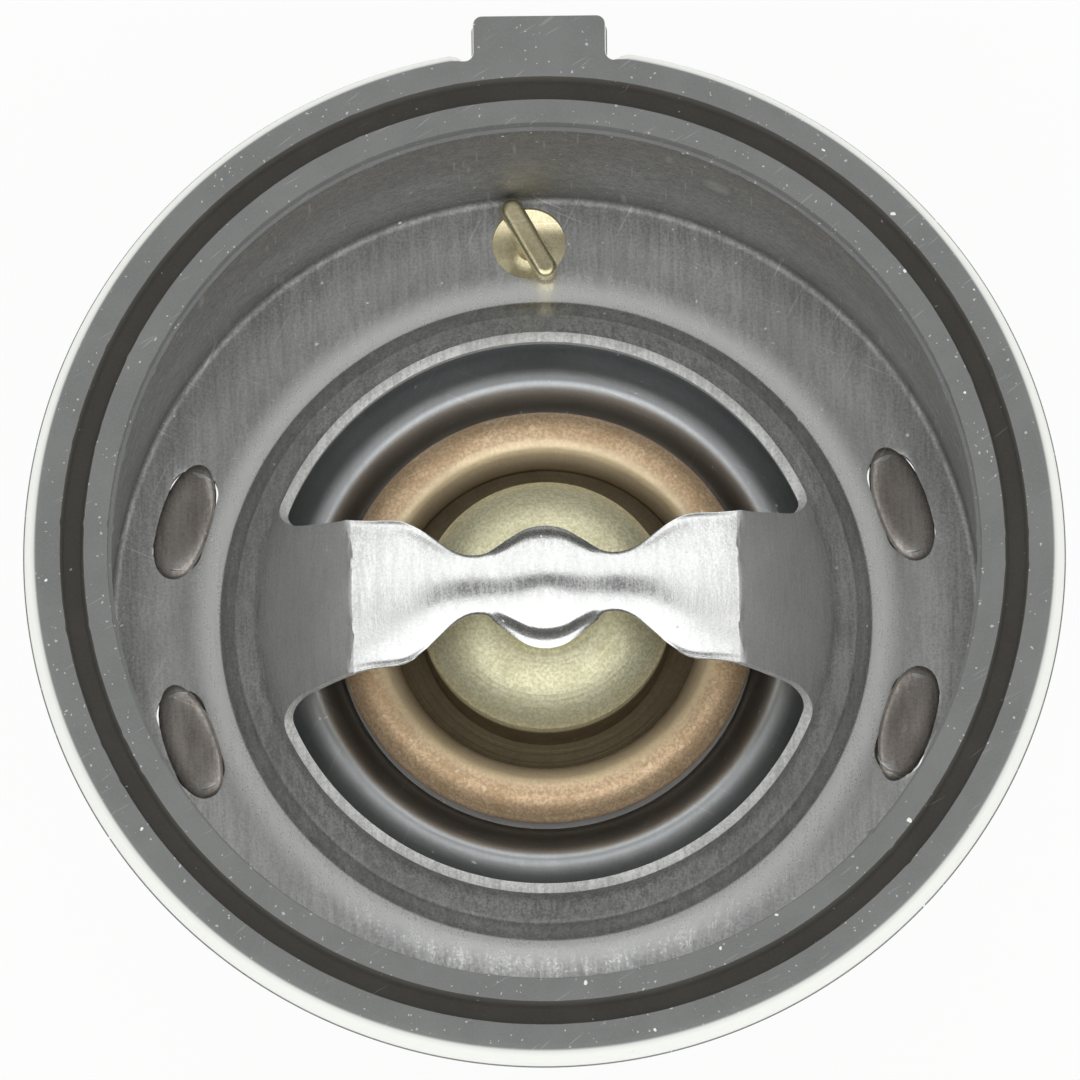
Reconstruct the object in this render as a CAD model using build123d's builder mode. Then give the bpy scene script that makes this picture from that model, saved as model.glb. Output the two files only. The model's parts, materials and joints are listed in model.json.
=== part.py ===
"""Wax thermostat for an engine's cooling circuit, drawn closed and cold.

Millimetres, +Z towards the radiator. The origin is on the valve's axis, at the upper end of the
cup's straight wall, close under the gasket. The bridge runs along X and the gasket's locating tab
points along +Y.
"""

from build123d import *
from math import atan2, cos, degrees, radians, sin, sqrt, tan
import os

# ------------------------------------------------------------------ piston
piston_r = 1.9
piston_length = 23.0
pocket_gap = 0.07
slide_gap = 0.06

# ------------------------------------------------------------------ brass guide
dome_r = 7.5
dome_rise = 2.0  # top of the capsule's roll up to the dome's widest edge
dome_height = 3.4
dome_top_r = 3.0
guide_flange = 1.2
guide_flange_gap = 0.15
nose_r = 4.3
nose_length = 2.3

# ------------------------------------------------------------------ wax capsule, outward from the dome
mouth_gap = 1.7  # dome to the mouth of the rolled rim
roll_inner = 1.7  # mouth to the top of the roll
roll_outer = 1.6  # top of the roll to its outside
bead_rise = 3.0  # cup's floor up to the top of the roll
bead_height = 3.4
bead_tuck = 0.3
bead_undercut = 0.65  # roll's outside in to the seat of the valve disc
neck_band_height = 2.3
bowl_wall = 1.85
shoulder_step = 3.25
shoulder_drop = 2.6
capsule_wall = 0.9
capsule_body = 19.0  # shoulder down to the bottom

# ------------------------------------------------------------------ rubber boot, washer and wax
boot_flange = 1.2
boot_wall = 0.9
boot_room = 3.82  # under the piston's end
washer_thickness = 0.8
fill_gap = 0.1

# ------------------------------------------------------------------ valve disc
disc_sheet = 0.8
crest_run = 1.7  # capsule's roll out to the middle of the raised ring
crest_rise = 1.2  # cup's floor up to the top of the raised ring
crest_half = 1.0
fall_run = 1.3
hub_reach = 0.65
land_drop = 0.05  # cup's floor down to the flat outer land
seat_gap = 0.25
retainer_height = 0.9
retainer_width = 1.0

# ------------------------------------------------------------------ flange stamping, outward from the valve
sheet = 0.6
neck_run = 2.9  # raised ring out to the neck that the windows are cut in
neck_rise = 3.1  # cup's floor up to the windows' cut edge
neck_height = 1.0
seat_run = 2.45  # neck out to the foot of the seat cone
seat_bend = 0.7
neck_bend = 0.8
floor_width = 6.45
dish_run = 3.9  # neck's foot out to where the floor starts to rise
dish_rise = 0.5
dish_bend = 12.0
cup_depth = 21.2  # gasket face down to the cup's floor
cup_corner = 1.0
mouth_flare = 0.15  # how far the wall opens from the origin's plane up to the rim
mouth_bend = 0.3
mouth_start = 0.02  # lets the straight wall just take in the origin's plane
rim_width = 2.9
rim_bend = 1.2  # on the visible side of the sheet
rim_level = 2.0  # middle of the rim sheet, above the origin

# ------------------------------------------------------------------ gasket
gasket_top = 4.0  # above the origin
gasket_base = 0.1  # leaves the housing's bore clear of the rubber
rim_cover = 1.1  # rim's edge out to the edge of the flat sealing lip
gasket_bulge = 0.8  # how far the outer wall swells past that edge
lip_width = 1.35
groove_width = 1.35
groove_depth = 1.3
groove_draft = 0.15
lip_overhang = 0.15  # inner lip, in over the cup's mouth
lip_thickness = 1.3
gasket_turn = -0.85  # degrees that the gasket sits round from the bridge's square
tab_width = 7.9
tab_reach = 2.4
tab_corner = 0.55
tab_root = 0.5
edge_round = 0.2  # moulded edges of the rubber

# ------------------------------------------------------------------ bridge
crease_inset = 5.6  # neck in to the crease
crease_rise = 8.9  # cup's floor up to the crease
strip_slope = 20.0  # degrees, from the crease up to the middle
flat_half = 3.2
strip_bend = 5.0
crown_r = 13.0  # across the strip
foot_half = 7.9
ankle_half = 6.9
crease_half = 4.65
knee_x = 8.9
knee_half = 4.35
calf_x = 6.3
calf_half = 2.85
waist_x = 4.3
waist_half = 1.8
shoulder_x = 2.3
boss_r = 3.2
boss_rise = 0.8
boss_crown_r = 1.5
skirt_flare = 0.7
skirt_depth = 2.2  # boss shoulder down to the skirt's edge

# ------------------------------------------------------------------ frame feet and vent hole
foot_inset = 3.6  # cup's wall in to the middle of the feet
foot_angle = 17.4  # degrees each side of the bridge's line
foot_length = 6.5
foot_width = 2.95
foot_gap = 0.12
foot_proud = 0.35  # crown of a clinched foot, above the floor
foot_sink = 0.15  # its long sides, below the floor
vent_inset = 2.8
vent_angle = 91.1
vent_r = 2.2

# ------------------------------------------------------------------ main spring and lower frame
wire_r = 0.8
spring_taper = 0.8  # radius lost from top to bottom
spring_turns = 5.0
spring_head_gap = 0.6
frame_sheet = 0.8
frame_drop = 19.0  # cup's floor underside down to the spring's seat
guide_gap = 0.08
guide_height = 1.8
base_margin = 1.4  # of the spring's seat, outside the spring
leg_straight = 10.6
leg_half = 10.4
leg_narrow_half = 6.8
leg_taper = 6.5
leg_notch_half = 2.7
leg_notch_height = 3.4

# ------------------------------------------------------------------ bypass valve
stem_r = 2.0
stem_tail = 0.9  # under the clip
bypass_seat_r = 6.6
bypass_seat_sheet = 0.8
bypass_seat_lip = 1.4
bypass_wire_r = 0.5
bypass_coil_r = 4.6
bypass_turns = 3.5
bypass_spring_length = 7.7
bypass_sheet = 0.9
bypass_hub_r = 6.6
bypass_cone_run = 2.4
bypass_rim_width = 2.8
bypass_dish = 2.45
washer_r = 4.2
bypass_washer_sheet = 0.6
clip_r = 3.7
clip_sheet = 0.6
clip_groove = 0.35

# ------------------------------------------------------------------ vent pin
vent_bar_length = 5.3
vent_bar_width = 1.35
vent_bar_height = 1.1
vent_bar_angle = -61.6
vent_bar_gap = 0.05  # above the highest part of the dished floor
vent_shank_r = 0.75
vent_head_r = 2.6
vent_head_height = 3.2
vent_travel_gap = 1.6

# ------------------------------------------------------------------ radii worked out from the sizes
bead_mouth_r = dome_r + mouth_gap
bead_top_r = bead_mouth_r + roll_inner
bead_r = bead_top_r + roll_outer
neck_band_r = bead_r - bead_undercut
bowl_inner_r = neck_band_r - bowl_wall
guide_flange_r = bowl_inner_r - guide_flange_gap
capsule_r = neck_band_r - shoulder_step
capsule_inner_r = capsule_r - capsule_wall
crest_r = bead_r + crest_run
neck_r = crest_r + neck_run
neck_mid_r = neck_r - sheet / 2
seat_foot_r = neck_r + seat_run
cup_inner_r = seat_foot_r + floor_width
wall_mid_r = cup_inner_r + sheet / 2
rim_r = cup_inner_r + rim_width
gasket_face_r = rim_r + rim_cover
groove_outer_r = gasket_face_r - lip_width
groove_inner_r = groove_outer_r - groove_width
lip_inner_r = cup_inner_r - lip_overhang
tab_reach_r = gasket_face_r + tab_reach
skirt_r = boss_r + skirt_flare
foot_circle_r = cup_inner_r - foot_inset
vent_circle_r = cup_inner_r - vent_inset
guide_r = capsule_r + guide_gap
base_r = crest_r + base_margin
bypass_rim_inner_r = bypass_hub_r + bypass_cone_run
bypass_rim_r = bypass_rim_inner_r + bypass_rim_width

# ------------------------------------------------------------------ levels worked out from the sizes
floor_top = gasket_top - cup_depth
floor_mid = floor_top - sheet / 2
dish_mid = floor_mid + dish_rise
floor_under = floor_top - sheet
neck_top = floor_top + neck_rise
neck_foot = neck_top - neck_height
seat_angle = atan2(neck_foot - dish_mid, seat_foot_r - neck_mid_r)

crease_x = neck_r - crease_inset
crease_z = floor_top + crease_rise
strip_top = crease_z + (crease_x - flat_half) * tan(radians(strip_slope))
boss_top = strip_top + boss_rise
skirt_bottom = strip_top - skirt_depth
piston_top = boss_top - sheet

bead_top = floor_top + bead_rise
band_top = bead_top - bead_height
band_bottom = band_top - neck_band_height
shoulder_bottom = band_bottom - shoulder_drop
capsule_bottom = shoulder_bottom - capsule_body

dome_edge = bead_top + dome_rise
dome_top = dome_edge + dome_height
flange_top = band_top + sheet
flange_under = flange_top - guide_flange
nose_bottom = flange_under - nose_length
washer_bottom = nose_bottom - washer_thickness
boot_under = flange_under - boot_flange
boot_bore_r = piston_r + slide_gap
boot_bottom = piston_top - piston_length - boot_room

crest_mid = floor_top + crest_rise - disc_sheet / 2
land_top = floor_top - land_drop
land_mid = land_top - disc_sheet / 2
hub_mid = band_top - disc_sheet / 2
retainer_top = band_top - disc_sheet

spring_seat = floor_under - frame_drop
spring_top = crest_mid - disc_sheet / 2 - spring_head_gap
base_mid = spring_seat - frame_sheet / 2

bypass_seat_under = capsule_bottom - bypass_seat_sheet
bypass_hub_top = bypass_seat_under - bypass_spring_length
bypass_hub_mid = bypass_hub_top - bypass_sheet / 2
bypass_washer_top = bypass_hub_top - bypass_sheet
clip_top = bypass_washer_top - bypass_washer_sheet
stem_bottom = clip_top - clip_sheet - stem_tail

vent_bar_bottom = floor_top + dish_rise + vent_bar_gap
vent_head_top = floor_under - vent_travel_gap
vent_x = vent_circle_r * cos(radians(vent_angle))
vent_y = vent_circle_r * sin(radians(vent_angle))


def sheet_section(points, bends, thickness):
    """Section of bent sheet in the XZ plane, traced along the middle of the sheet."""
    with BuildSketch(Plane.XZ) as section:
        with BuildLine():
            FilletPolyline(*points, radius=bends)
        trace(line_width=thickness)
    return section.sketch


def outline_section(points):
    """Solid section in the XZ plane with straight sides."""
    with BuildSketch(Plane.XZ) as section:
        with BuildLine():
            Polyline(*points, close=True)
        make_face()
    return section.sketch


def crowned_section(plane, half_width, crown, thickness):
    """Section of sheet that curves away from its outer face towards both edges."""
    sag = crown - sqrt(crown**2 - half_width**2)
    with BuildSketch(plane) as section:
        with BuildLine():
            ThreePointArc((-half_width, sag), (0, 0), (half_width, sag))
            Line((half_width, sag), (half_width, sag + thickness))
            ThreePointArc((half_width, sag + thickness), (0, thickness), (-half_width, sag + thickness))
            Line((-half_width, sag + thickness), (-half_width, sag))
        make_face()
    return section.sketch


def across_plane(x, z, lean):
    """Plane across the bridge sheet where the sheet climbs at lean degrees towards the middle."""
    climb = radians(lean)
    return Plane(origin=(x, 0, z), x_dir=(0, 1, 0), z_dir=(-cos(climb), 0, sin(climb)))


def save(piece, name):
    """Label a finished piece and write its STEP file."""
    piece.part.label = name
    export_step(piece.part, f"parts/{name}.step")


os.makedirs("parts", exist_ok=True)

# ------------------------------------------------------------------ flange_cup
# Half of the bridge: a flared leg rises from the neck to the crease, and a crowned strip with a
# waist runs on to the boss over the valve's axis.
foot_plane = across_plane(neck_r - sheet * 0.05, neck_top - neck_height * 0.8, 90)
ankle_plane = across_plane(neck_r - sheet * 0.6, neck_top + sheet * 0.8, 68)
crease_plane = across_plane(crease_x, crease_z, strip_slope)

with BuildPart() as bridge_half:
    with BuildLine(Plane.XZ):
        FilletPolyline(
            (crease_x, crease_z),
            (flat_half, strip_top),
            (0, strip_top),
            radius=strip_bend,
        )
    sweep(crowned_section(crease_plane, crease_half + sheet, crown_r, sheet))
    with BuildSketch(Plane.XY.offset(floor_top)):
        with BuildLine():
            Spline(
                (crease_x + sheet, crease_half),
                (knee_x, knee_half),
                (calf_x, calf_half),
                (waist_x, waist_half),
                (shoulder_x, boss_r * 0.75),
                (0, boss_r),
                tangents=((-1, 0), (-1, 0)),
            )
            Line((0, boss_r), (0, 0))
            Line((0, 0), (crease_x + sheet, 0))
            Line((crease_x + sheet, 0), (crease_x + sheet, crease_half))
        make_face()
        mirror(about=Plane.XZ)
    extrude(amount=cup_depth, mode=Mode.INTERSECT)
    loft(
        [
            crowned_section(foot_plane, foot_half, neck_r, sheet * 0.9),
            crowned_section(ankle_plane, ankle_half, neck_r, sheet * 0.95),
            crowned_section(crease_plane, crease_half, crown_r, sheet),
        ]
    )

with BuildPart() as flange_cup:
    revolve(
        sheet_section(
            [
                (rim_r, rim_level),
                (wall_mid_r + mouth_flare, rim_level),
                (wall_mid_r, mouth_start),
                (wall_mid_r, floor_mid),
                (seat_foot_r + dish_run, floor_mid),
                (seat_foot_r, dish_mid),
                (neck_mid_r, neck_foot),
                (neck_mid_r, neck_top),
            ],
            [rim_bend - sheet / 2, mouth_bend, cup_corner + sheet / 2, dish_bend, seat_bend, neck_bend],
            sheet,
        ),
        axis=Axis.Z,
    )
    add(bridge_half.part)
    mirror(bridge_half.part, about=Plane.YZ)
    with BuildSketch(Plane.XZ):
        with BuildLine():
            Line((0, boss_top), (boss_crown_r, boss_top))
            TangentArc((boss_crown_r, boss_top), (boss_r, strip_top - sheet), tangent=(1, 0))
            Line((boss_r, strip_top - sheet), (skirt_r, skirt_bottom))
            Line((skirt_r, skirt_bottom), (skirt_r - sheet, skirt_bottom))
            Line((skirt_r - sheet, skirt_bottom), (boss_r - sheet, strip_top - 2 * sheet))
            Line((boss_r - sheet, strip_top - 2 * sheet), (boss_crown_r, piston_top))
            Line((boss_crown_r, piston_top), (0, piston_top))
            Line((0, piston_top), (0, boss_top))
        make_face()
    revolve(axis=Axis.Z)
    with Locations((0, 0, piston_top)):
        Cylinder(
            piston_r + pocket_gap,
            boss_top - skirt_bottom,
            align=(Align.CENTER, Align.CENTER, Align.MAX),
            mode=Mode.SUBTRACT,
        )
    with BuildSketch(Plane.XY.offset(floor_under - sheet)):
        for side in (0, 180):
            with PolarLocations(
                foot_circle_r, 2, start_angle=side - foot_angle, angular_range=2 * foot_angle, endpoint=True
            ):
                SlotOverall(foot_length, foot_width, rotation=90)
        with Locations((vent_x, vent_y)):
            Circle(vent_r)
    extrude(amount=3 * sheet, mode=Mode.SUBTRACT)
save(flange_cup, "flange_cup")

# ------------------------------------------------------------------ gasket
slot_top = rim_level + sheet / 2
slot_bottom = rim_level - sheet / 2
bend_r = cup_inner_r + mouth_flare + rim_bend
bore_r = cup_inner_r + sheet + mouth_flare + fill_gap
gasket_height = gasket_top - gasket_base
with BuildPart() as gasket:
    with BuildSketch(Plane.XZ):
        with BuildLine():
            ThreePointArc(
                (gasket_face_r, gasket_base),
                (gasket_face_r + gasket_bulge, gasket_base + gasket_height * 0.45),
                (gasket_face_r, gasket_top),
            )
            Polyline(
                (gasket_face_r, gasket_top),
                (groove_outer_r, gasket_top),
                (groove_outer_r - groove_draft, gasket_top - groove_depth),
                (groove_inner_r + groove_draft, gasket_top - groove_depth),
                (groove_inner_r, gasket_top),
                (lip_inner_r, gasket_top),
                (lip_inner_r, gasket_top - lip_thickness),
                (bend_r, slot_top),
                (rim_r + fill_gap / 2, slot_top),
                (rim_r + fill_gap / 2, slot_bottom),
                (bend_r + fill_gap, slot_bottom),
                (bore_r, slot_bottom - sheet),
                (bore_r, gasket_base),
                (gasket_face_r, gasket_base),
            )
        make_face()
    revolve(axis=Axis.Z)
    fillet(
        gasket.edges().filter_by(GeomType.CIRCLE).filter_by(lambda e: e.center().Z > gasket_top - 0.01),
        radius=edge_round,
    )
    with BuildSketch(Plane.XY.offset(gasket_base)):
        Circle(gasket_face_r)
        with Locations((0, tab_reach_r / 2)):
            Rectangle(tab_width, tab_reach_r)
        fillet(vertices().group_by(Axis.Y)[-1], radius=tab_corner)
        fillet(
            vertices().filter_by(lambda v: abs(v.Y) > gasket_face_r * 0.9 and v.Y < gasket_face_r),
            radius=tab_root,
        )
        Circle(gasket_face_r - tab_root, mode=Mode.SUBTRACT)
        Rectangle(3 * tab_width, tab_reach_r, align=(Align.CENTER, Align.MIN), mode=Mode.INTERSECT)
    extrude(amount=gasket_height)
gasket.part = gasket.part.rotate(Axis.Z, gasket_turn)
save(gasket, "gasket")

# ------------------------------------------------------------------ piston
with BuildPart() as piston:
    with Locations((0, 0, piston_top)):
        Cylinder(piston_r, piston_length, align=(Align.CENTER, Align.CENTER, Align.MAX))
    chamfer(piston.edges().filter_by(GeomType.CIRCLE), length=piston_r * 0.2)
save(piston, "piston")

# ------------------------------------------------------------------ capsule_cup
bead_side = bead_top - (bead_r - bead_top_r)
with BuildPart() as capsule_cup:
    with BuildSketch(Plane.XZ):
        with BuildLine():
            Line((bead_mouth_r, flange_top), (bead_mouth_r, bead_side))
            TangentArc((bead_top_r, bead_top), (bead_mouth_r, bead_side), tangent=(-1, 0))
            TangentArc((bead_top_r, bead_top), (bead_r, bead_side), tangent=(1, 0))
            Polyline(
                (bead_r, bead_side),
                (neck_band_r + bead_tuck, band_top),
                (neck_band_r, band_top),
                (neck_band_r, band_bottom),
                (capsule_r, shoulder_bottom),
                (capsule_r, capsule_bottom),
                (0, capsule_bottom),
                (0, capsule_bottom + capsule_wall),
                (capsule_inner_r, capsule_bottom + capsule_wall),
                (capsule_inner_r, shoulder_bottom),
                (bowl_inner_r, band_bottom),
                (bowl_inner_r, flange_top),
                (bead_mouth_r, flange_top),
            )
        make_face()
    revolve(axis=Axis.Z)
    bottom_edge = capsule_cup.edges().filter_by(GeomType.CIRCLE).sort_by(Axis.Z)[0]
    fillet(bottom_edge, radius=capsule_wall * 0.8)
save(capsule_cup, "capsule_cup")

# ------------------------------------------------------------------ guide_cover
with BuildPart() as guide_cover:
    with BuildSketch(Plane.XZ):
        with BuildLine():
            Polyline(
                (boot_bore_r, nose_bottom),
                (boot_bore_r, dome_top),
                (dome_top_r, dome_top),
                (dome_top_r + 0.4, dome_top - 0.7),
            )
            ThreePointArc(
                (dome_top_r + 0.4, dome_top - 0.7),
                (dome_r * 0.8, dome_top - 0.45 * dome_height),
                (dome_r, dome_edge),
            )
            Polyline(
                (dome_r, dome_edge),
                (dome_r, flange_top),
                (guide_flange_r, flange_top),
                (guide_flange_r, flange_under),
                (nose_r, flange_under),
                (nose_r, nose_bottom),
                (boot_bore_r, nose_bottom),
            )
        make_face()
    revolve(axis=Axis.Z)
save(guide_cover, "guide_cover")

# ------------------------------------------------------------------ piston_boot
boot_sleeve_r = nose_r + fill_gap
boot_outer_r = boot_bore_r + boot_wall
with BuildPart() as piston_boot:
    revolve(
        outline_section(
            [
                (boot_sleeve_r, flange_under),
                (guide_flange_r, flange_under),
                (guide_flange_r, boot_under),
                (boot_sleeve_r + boot_wall, boot_under),
                (boot_sleeve_r + boot_wall, washer_bottom),
                (boot_outer_r, washer_bottom - boot_wall),
                (boot_outer_r, boot_bottom - boot_wall),
                (0, boot_bottom - boot_wall),
                (0, boot_bottom),
                (boot_bore_r, boot_bottom),
                (boot_bore_r, washer_bottom),
                (boot_sleeve_r, washer_bottom),
            ]
        ),
        axis=Axis.Z,
    )
save(piston_boot, "piston_boot")

# ------------------------------------------------------------------ guide_washer
with BuildPart() as guide_washer:
    with BuildSketch(Plane.XY.offset(washer_bottom)):
        Circle(nose_r)
        Circle(boot_bore_r, mode=Mode.SUBTRACT)
    extrude(amount=washer_thickness)
save(guide_washer, "guide_washer")

# ------------------------------------------------------------------ wax_charge
wax_inner_r = boot_sleeve_r + boot_wall + fill_gap
wax_core_r = boot_outer_r + fill_gap
wax_outer_r = capsule_inner_r - fill_gap
wax_shoulder = shoulder_bottom - fill_gap
wax_floor = capsule_bottom + capsule_wall
with BuildPart() as wax_charge:
    revolve(
        outline_section(
            [
                (0, wax_floor),
                (wax_outer_r, wax_floor),
                (wax_outer_r, wax_shoulder),
                (bowl_inner_r - fill_gap, band_bottom - fill_gap),
                (bowl_inner_r - fill_gap, boot_under),
                (wax_inner_r, boot_under),
                (wax_inner_r, washer_bottom - fill_gap),
                (wax_core_r, washer_bottom - boot_wall - fill_gap),
                (wax_core_r, boot_bottom - boot_wall - fill_gap),
                (0, boot_bottom - boot_wall - fill_gap),
            ]
        ),
        axis=Axis.Z,
    )
save(wax_charge, "wax_charge")

# ------------------------------------------------------------------ valve_disc
# The flat land closes against the underside of the seat cone, one seat_gap short of it.
hub_r = neck_band_r + hub_reach
seat_normal_r = seat_foot_r - sheet / 2 * sin(seat_angle)
seat_normal_z = dish_mid - sheet / 2 * cos(seat_angle)
land_clear = land_top + seat_gap / cos(seat_angle)
disc_r = seat_normal_r - (land_clear - seat_normal_z) / tan(seat_angle)
with BuildPart() as valve_disc:
    revolve(
        sheet_section(
            [
                (neck_band_r + slide_gap, hub_mid),
                (hub_r, hub_mid),
                (crest_r - crest_half, crest_mid),
                (crest_r + crest_half, crest_mid),
                (crest_r + crest_half + fall_run, land_mid),
                (disc_r, land_mid),
            ],
            [0.5, 0.6, 0.6, 0.6],
            disc_sheet,
        ),
        axis=Axis.Z,
    )
save(valve_disc, "valve_disc")

# ------------------------------------------------------------------ disc_retainer
with BuildPart() as disc_retainer:
    with BuildSketch(Plane.XY.offset(retainer_top - retainer_height)):
        Circle(neck_band_r + slide_gap + retainer_width)
        Circle(neck_band_r + slide_gap, mode=Mode.SUBTRACT)
    extrude(amount=retainer_height)
    chamfer(disc_retainer.edges().group_by(Axis.Z)[0], length=retainer_height * 0.25)
save(disc_retainer, "disc_retainer")


def coil_spring(bottom, top, bottom_r, top_r, turns, wire):
    """Compression spring whose end turns are ground flat on the two levels."""
    rise = top - bottom
    with BuildPart() as spring:
        with BuildLine():
            coil = Helix(
                pitch=rise / turns,
                height=rise,
                radius=bottom_r,
                center=(0, 0, bottom),
                cone_angle=degrees(atan2(top_r - bottom_r, rise)),
            )
        with BuildSketch(Plane(origin=coil @ 0, z_dir=coil % 0)):
            Circle(wire)
        sweep()
        with BuildSketch(Plane.XY.offset(bottom)):
            Circle(max(bottom_r, top_r) + 2 * wire)
        extrude(amount=rise, mode=Mode.INTERSECT)
    return spring


# ------------------------------------------------------------------ main_spring
main_spring = coil_spring(spring_seat, spring_top, crest_r - spring_taper, crest_r, spring_turns, wire_r)
save(main_spring, "main_spring")

# ------------------------------------------------------------------ lower_frame
# The feet are clinched in the cup's slots: their tops are crowned, and their long sides lie just below
# the floor.
foot_inner_r = foot_circle_r - foot_width / 2
foot_outer_r = foot_circle_r + foot_width / 2
with BuildPart() as frame_feet:
    with BuildSketch(Plane.XY.offset(floor_under)):
        for side in (0, 180):
            with PolarLocations(
                foot_circle_r, 2, start_angle=side - foot_angle, angular_range=2 * foot_angle, endpoint=True
            ):
                SlotOverall(foot_length - 2 * foot_gap, foot_width - 2 * foot_gap, rotation=90)
    extrude(amount=2 * sheet)
    with BuildSketch(Plane.XZ) as crown_section:
        with BuildLine():
            Polyline(
                (foot_outer_r, floor_top - foot_sink),
                (foot_outer_r, floor_under),
                (foot_inner_r, floor_under),
                (foot_inner_r, floor_top - foot_sink),
            )
            ThreePointArc(
                (foot_inner_r, floor_top - foot_sink),
                (foot_circle_r, floor_top + foot_proud),
                (foot_outer_r, floor_top - foot_sink),
            )
        make_face()
    revolve(axis=Axis.Z, mode=Mode.INTERSECT)
    fillet(frame_feet.edges().filter_by(GeomType.CIRCLE, reverse=True).sort_by(Axis.Z)[-8:], foot_proud / 3)

# A bowl of sheet is trimmed to two legs, and each leg's top is parted into two feet.
leg_knee = floor_under - leg_straight
notch_bottom = floor_under - leg_notch_height
taper_bottom = notch_bottom - leg_taper
with BuildPart() as lower_frame:
    revolve(
        sheet_section(
            [
                (guide_r + frame_sheet / 2, spring_seat + guide_height),
                (guide_r + frame_sheet / 2, base_mid),
                (base_r, base_mid),
                (foot_circle_r, leg_knee),
                (foot_circle_r, floor_under),
            ],
            [0.7, 1.5, 2.5],
            frame_sheet,
        ),
        axis=Axis.Z,
    )
    with BuildSketch(Plane.YZ):
        with BuildLine():
            Polyline(
                (0, notch_bottom),
                (leg_notch_half, notch_bottom),
                (leg_notch_half, floor_under),
                (leg_half, floor_under),
                (leg_half, notch_bottom),
                (leg_narrow_half, taper_bottom),
                (leg_narrow_half, spring_seat + guide_height),
                (base_r, spring_seat),
                (base_r, base_mid - frame_sheet),
                (0, base_mid - frame_sheet),
            )
            mirror(about=Plane.YZ)
        make_face()
    extrude(amount=foot_circle_r + frame_sheet, both=True, mode=Mode.INTERSECT)
    add(frame_feet.part)
save(lower_frame, "lower_frame")

# ------------------------------------------------------------------ bypass_stem
groove_r = stem_r - clip_groove
with BuildPart() as bypass_stem:
    with Locations((0, 0, capsule_bottom)):
        Cylinder(stem_r, capsule_bottom - stem_bottom, align=(Align.CENTER, Align.CENTER, Align.MAX))
    with BuildSketch(Plane.XY.offset(clip_top)):
        Circle(stem_r)
        Circle(groove_r, mode=Mode.SUBTRACT)
    extrude(amount=-clip_sheet, mode=Mode.SUBTRACT)
    chamfer(bypass_stem.edges().sort_by(Axis.Z)[0], length=clip_groove)
save(bypass_stem, "bypass_stem")

# ------------------------------------------------------------------ bypass_spring_seat
seat_mid = capsule_bottom - bypass_seat_sheet / 2
with BuildPart() as bypass_spring_seat:
    revolve(
        sheet_section(
            [
                (stem_r + fill_gap, seat_mid),
                (bypass_seat_r, seat_mid),
                (bypass_seat_r, seat_mid - bypass_seat_lip),
            ],
            bypass_seat_sheet,
            bypass_seat_sheet,
        ),
        axis=Axis.Z,
    )
save(bypass_spring_seat, "bypass_spring_seat")

# ------------------------------------------------------------------ bypass_spring
bypass_spring = coil_spring(
    bypass_hub_top, bypass_seat_under, bypass_coil_r, bypass_coil_r, bypass_turns, bypass_wire_r
)
save(bypass_spring, "bypass_spring")

# ------------------------------------------------------------------ bypass_disc
with BuildPart() as bypass_disc:
    revolve(
        sheet_section(
            [
                (stem_r + slide_gap, bypass_hub_mid),
                (bypass_hub_r, bypass_hub_mid),
                (bypass_rim_inner_r, bypass_hub_mid - bypass_dish),
                (bypass_rim_r, bypass_hub_mid - bypass_dish),
            ],
            [0.8, 0.8],
            bypass_sheet,
        ),
        axis=Axis.Z,
    )
save(bypass_disc, "bypass_disc")

# ------------------------------------------------------------------ bypass_washer
with BuildPart() as bypass_washer:
    with BuildSketch(Plane.XY.offset(bypass_washer_top)):
        Circle(washer_r)
        Circle(stem_r + fill_gap, mode=Mode.SUBTRACT)
    extrude(amount=-bypass_washer_sheet)
save(bypass_washer, "bypass_washer")

# ------------------------------------------------------------------ bypass_clip
with BuildPart() as bypass_clip:
    with BuildSketch(Plane.XY.offset(clip_top)):
        Circle(clip_r)
        Circle(groove_r + fill_gap / 2, mode=Mode.SUBTRACT)
        with Locations((clip_r / 2, 0)):
            Rectangle(clip_r, 2 * (groove_r - clip_groove), mode=Mode.SUBTRACT)
        with PolarLocations(clip_r, 2, start_angle=120, angular_range=120, endpoint=True):
            Circle(clip_r - stem_r - clip_groove, mode=Mode.SUBTRACT)
    extrude(amount=-clip_sheet)
save(bypass_clip, "bypass_clip")

# ------------------------------------------------------------------ vent_pin
vent_neck_top = vent_bar_bottom + vent_bar_height / 2
vent_head_bottom = vent_head_top - vent_head_height
vent_head_side = vent_head_bottom + vent_head_r * 0.6
with BuildPart() as vent_pin:
    with BuildSketch(Plane(origin=(vent_x, vent_y, 0), x_dir=(1, 0, 0), z_dir=(0, -1, 0))):
        with BuildLine():
            Polyline(
                (0, vent_neck_top),
                (vent_shank_r, vent_neck_top),
                (vent_shank_r, vent_head_top + vent_shank_r),
                (vent_head_r, vent_head_top),
                (vent_head_r, vent_head_side),
            )
            TangentArc((0, vent_head_bottom), (vent_head_r, vent_head_side), tangent=(1, 0))
            Line((0, vent_head_bottom), (0, vent_neck_top))
        make_face()
    revolve(axis=Axis((vent_x, vent_y, 0), (0, 0, 1)))
    with BuildSketch(Plane.XY.offset(vent_bar_bottom)):
        with Locations((vent_x, vent_y)):
            SlotOverall(vent_bar_length, vent_bar_width, rotation=vent_bar_angle)
    extrude(amount=vent_bar_height)
    fillet(vent_pin.faces().sort_by(Axis.Z)[-1].edges(), radius=vent_bar_width * 0.3)
save(vent_pin, "vent_pin")
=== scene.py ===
"""Engine thermostat, dressed for display on a plain pale floor.

Lengths in the classes are millimetres and meshes are made in metres, in the frame of the CAD model:
+Z runs along the valve's axis towards the radiator, +X along the bridge and +Y towards the vent pin
and the seal's tab.
"""

from __future__ import annotations

import json
import logging
import math
import random
from dataclasses import dataclass, field
from enum import Enum
from typing import Iterable, Sequence

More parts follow.
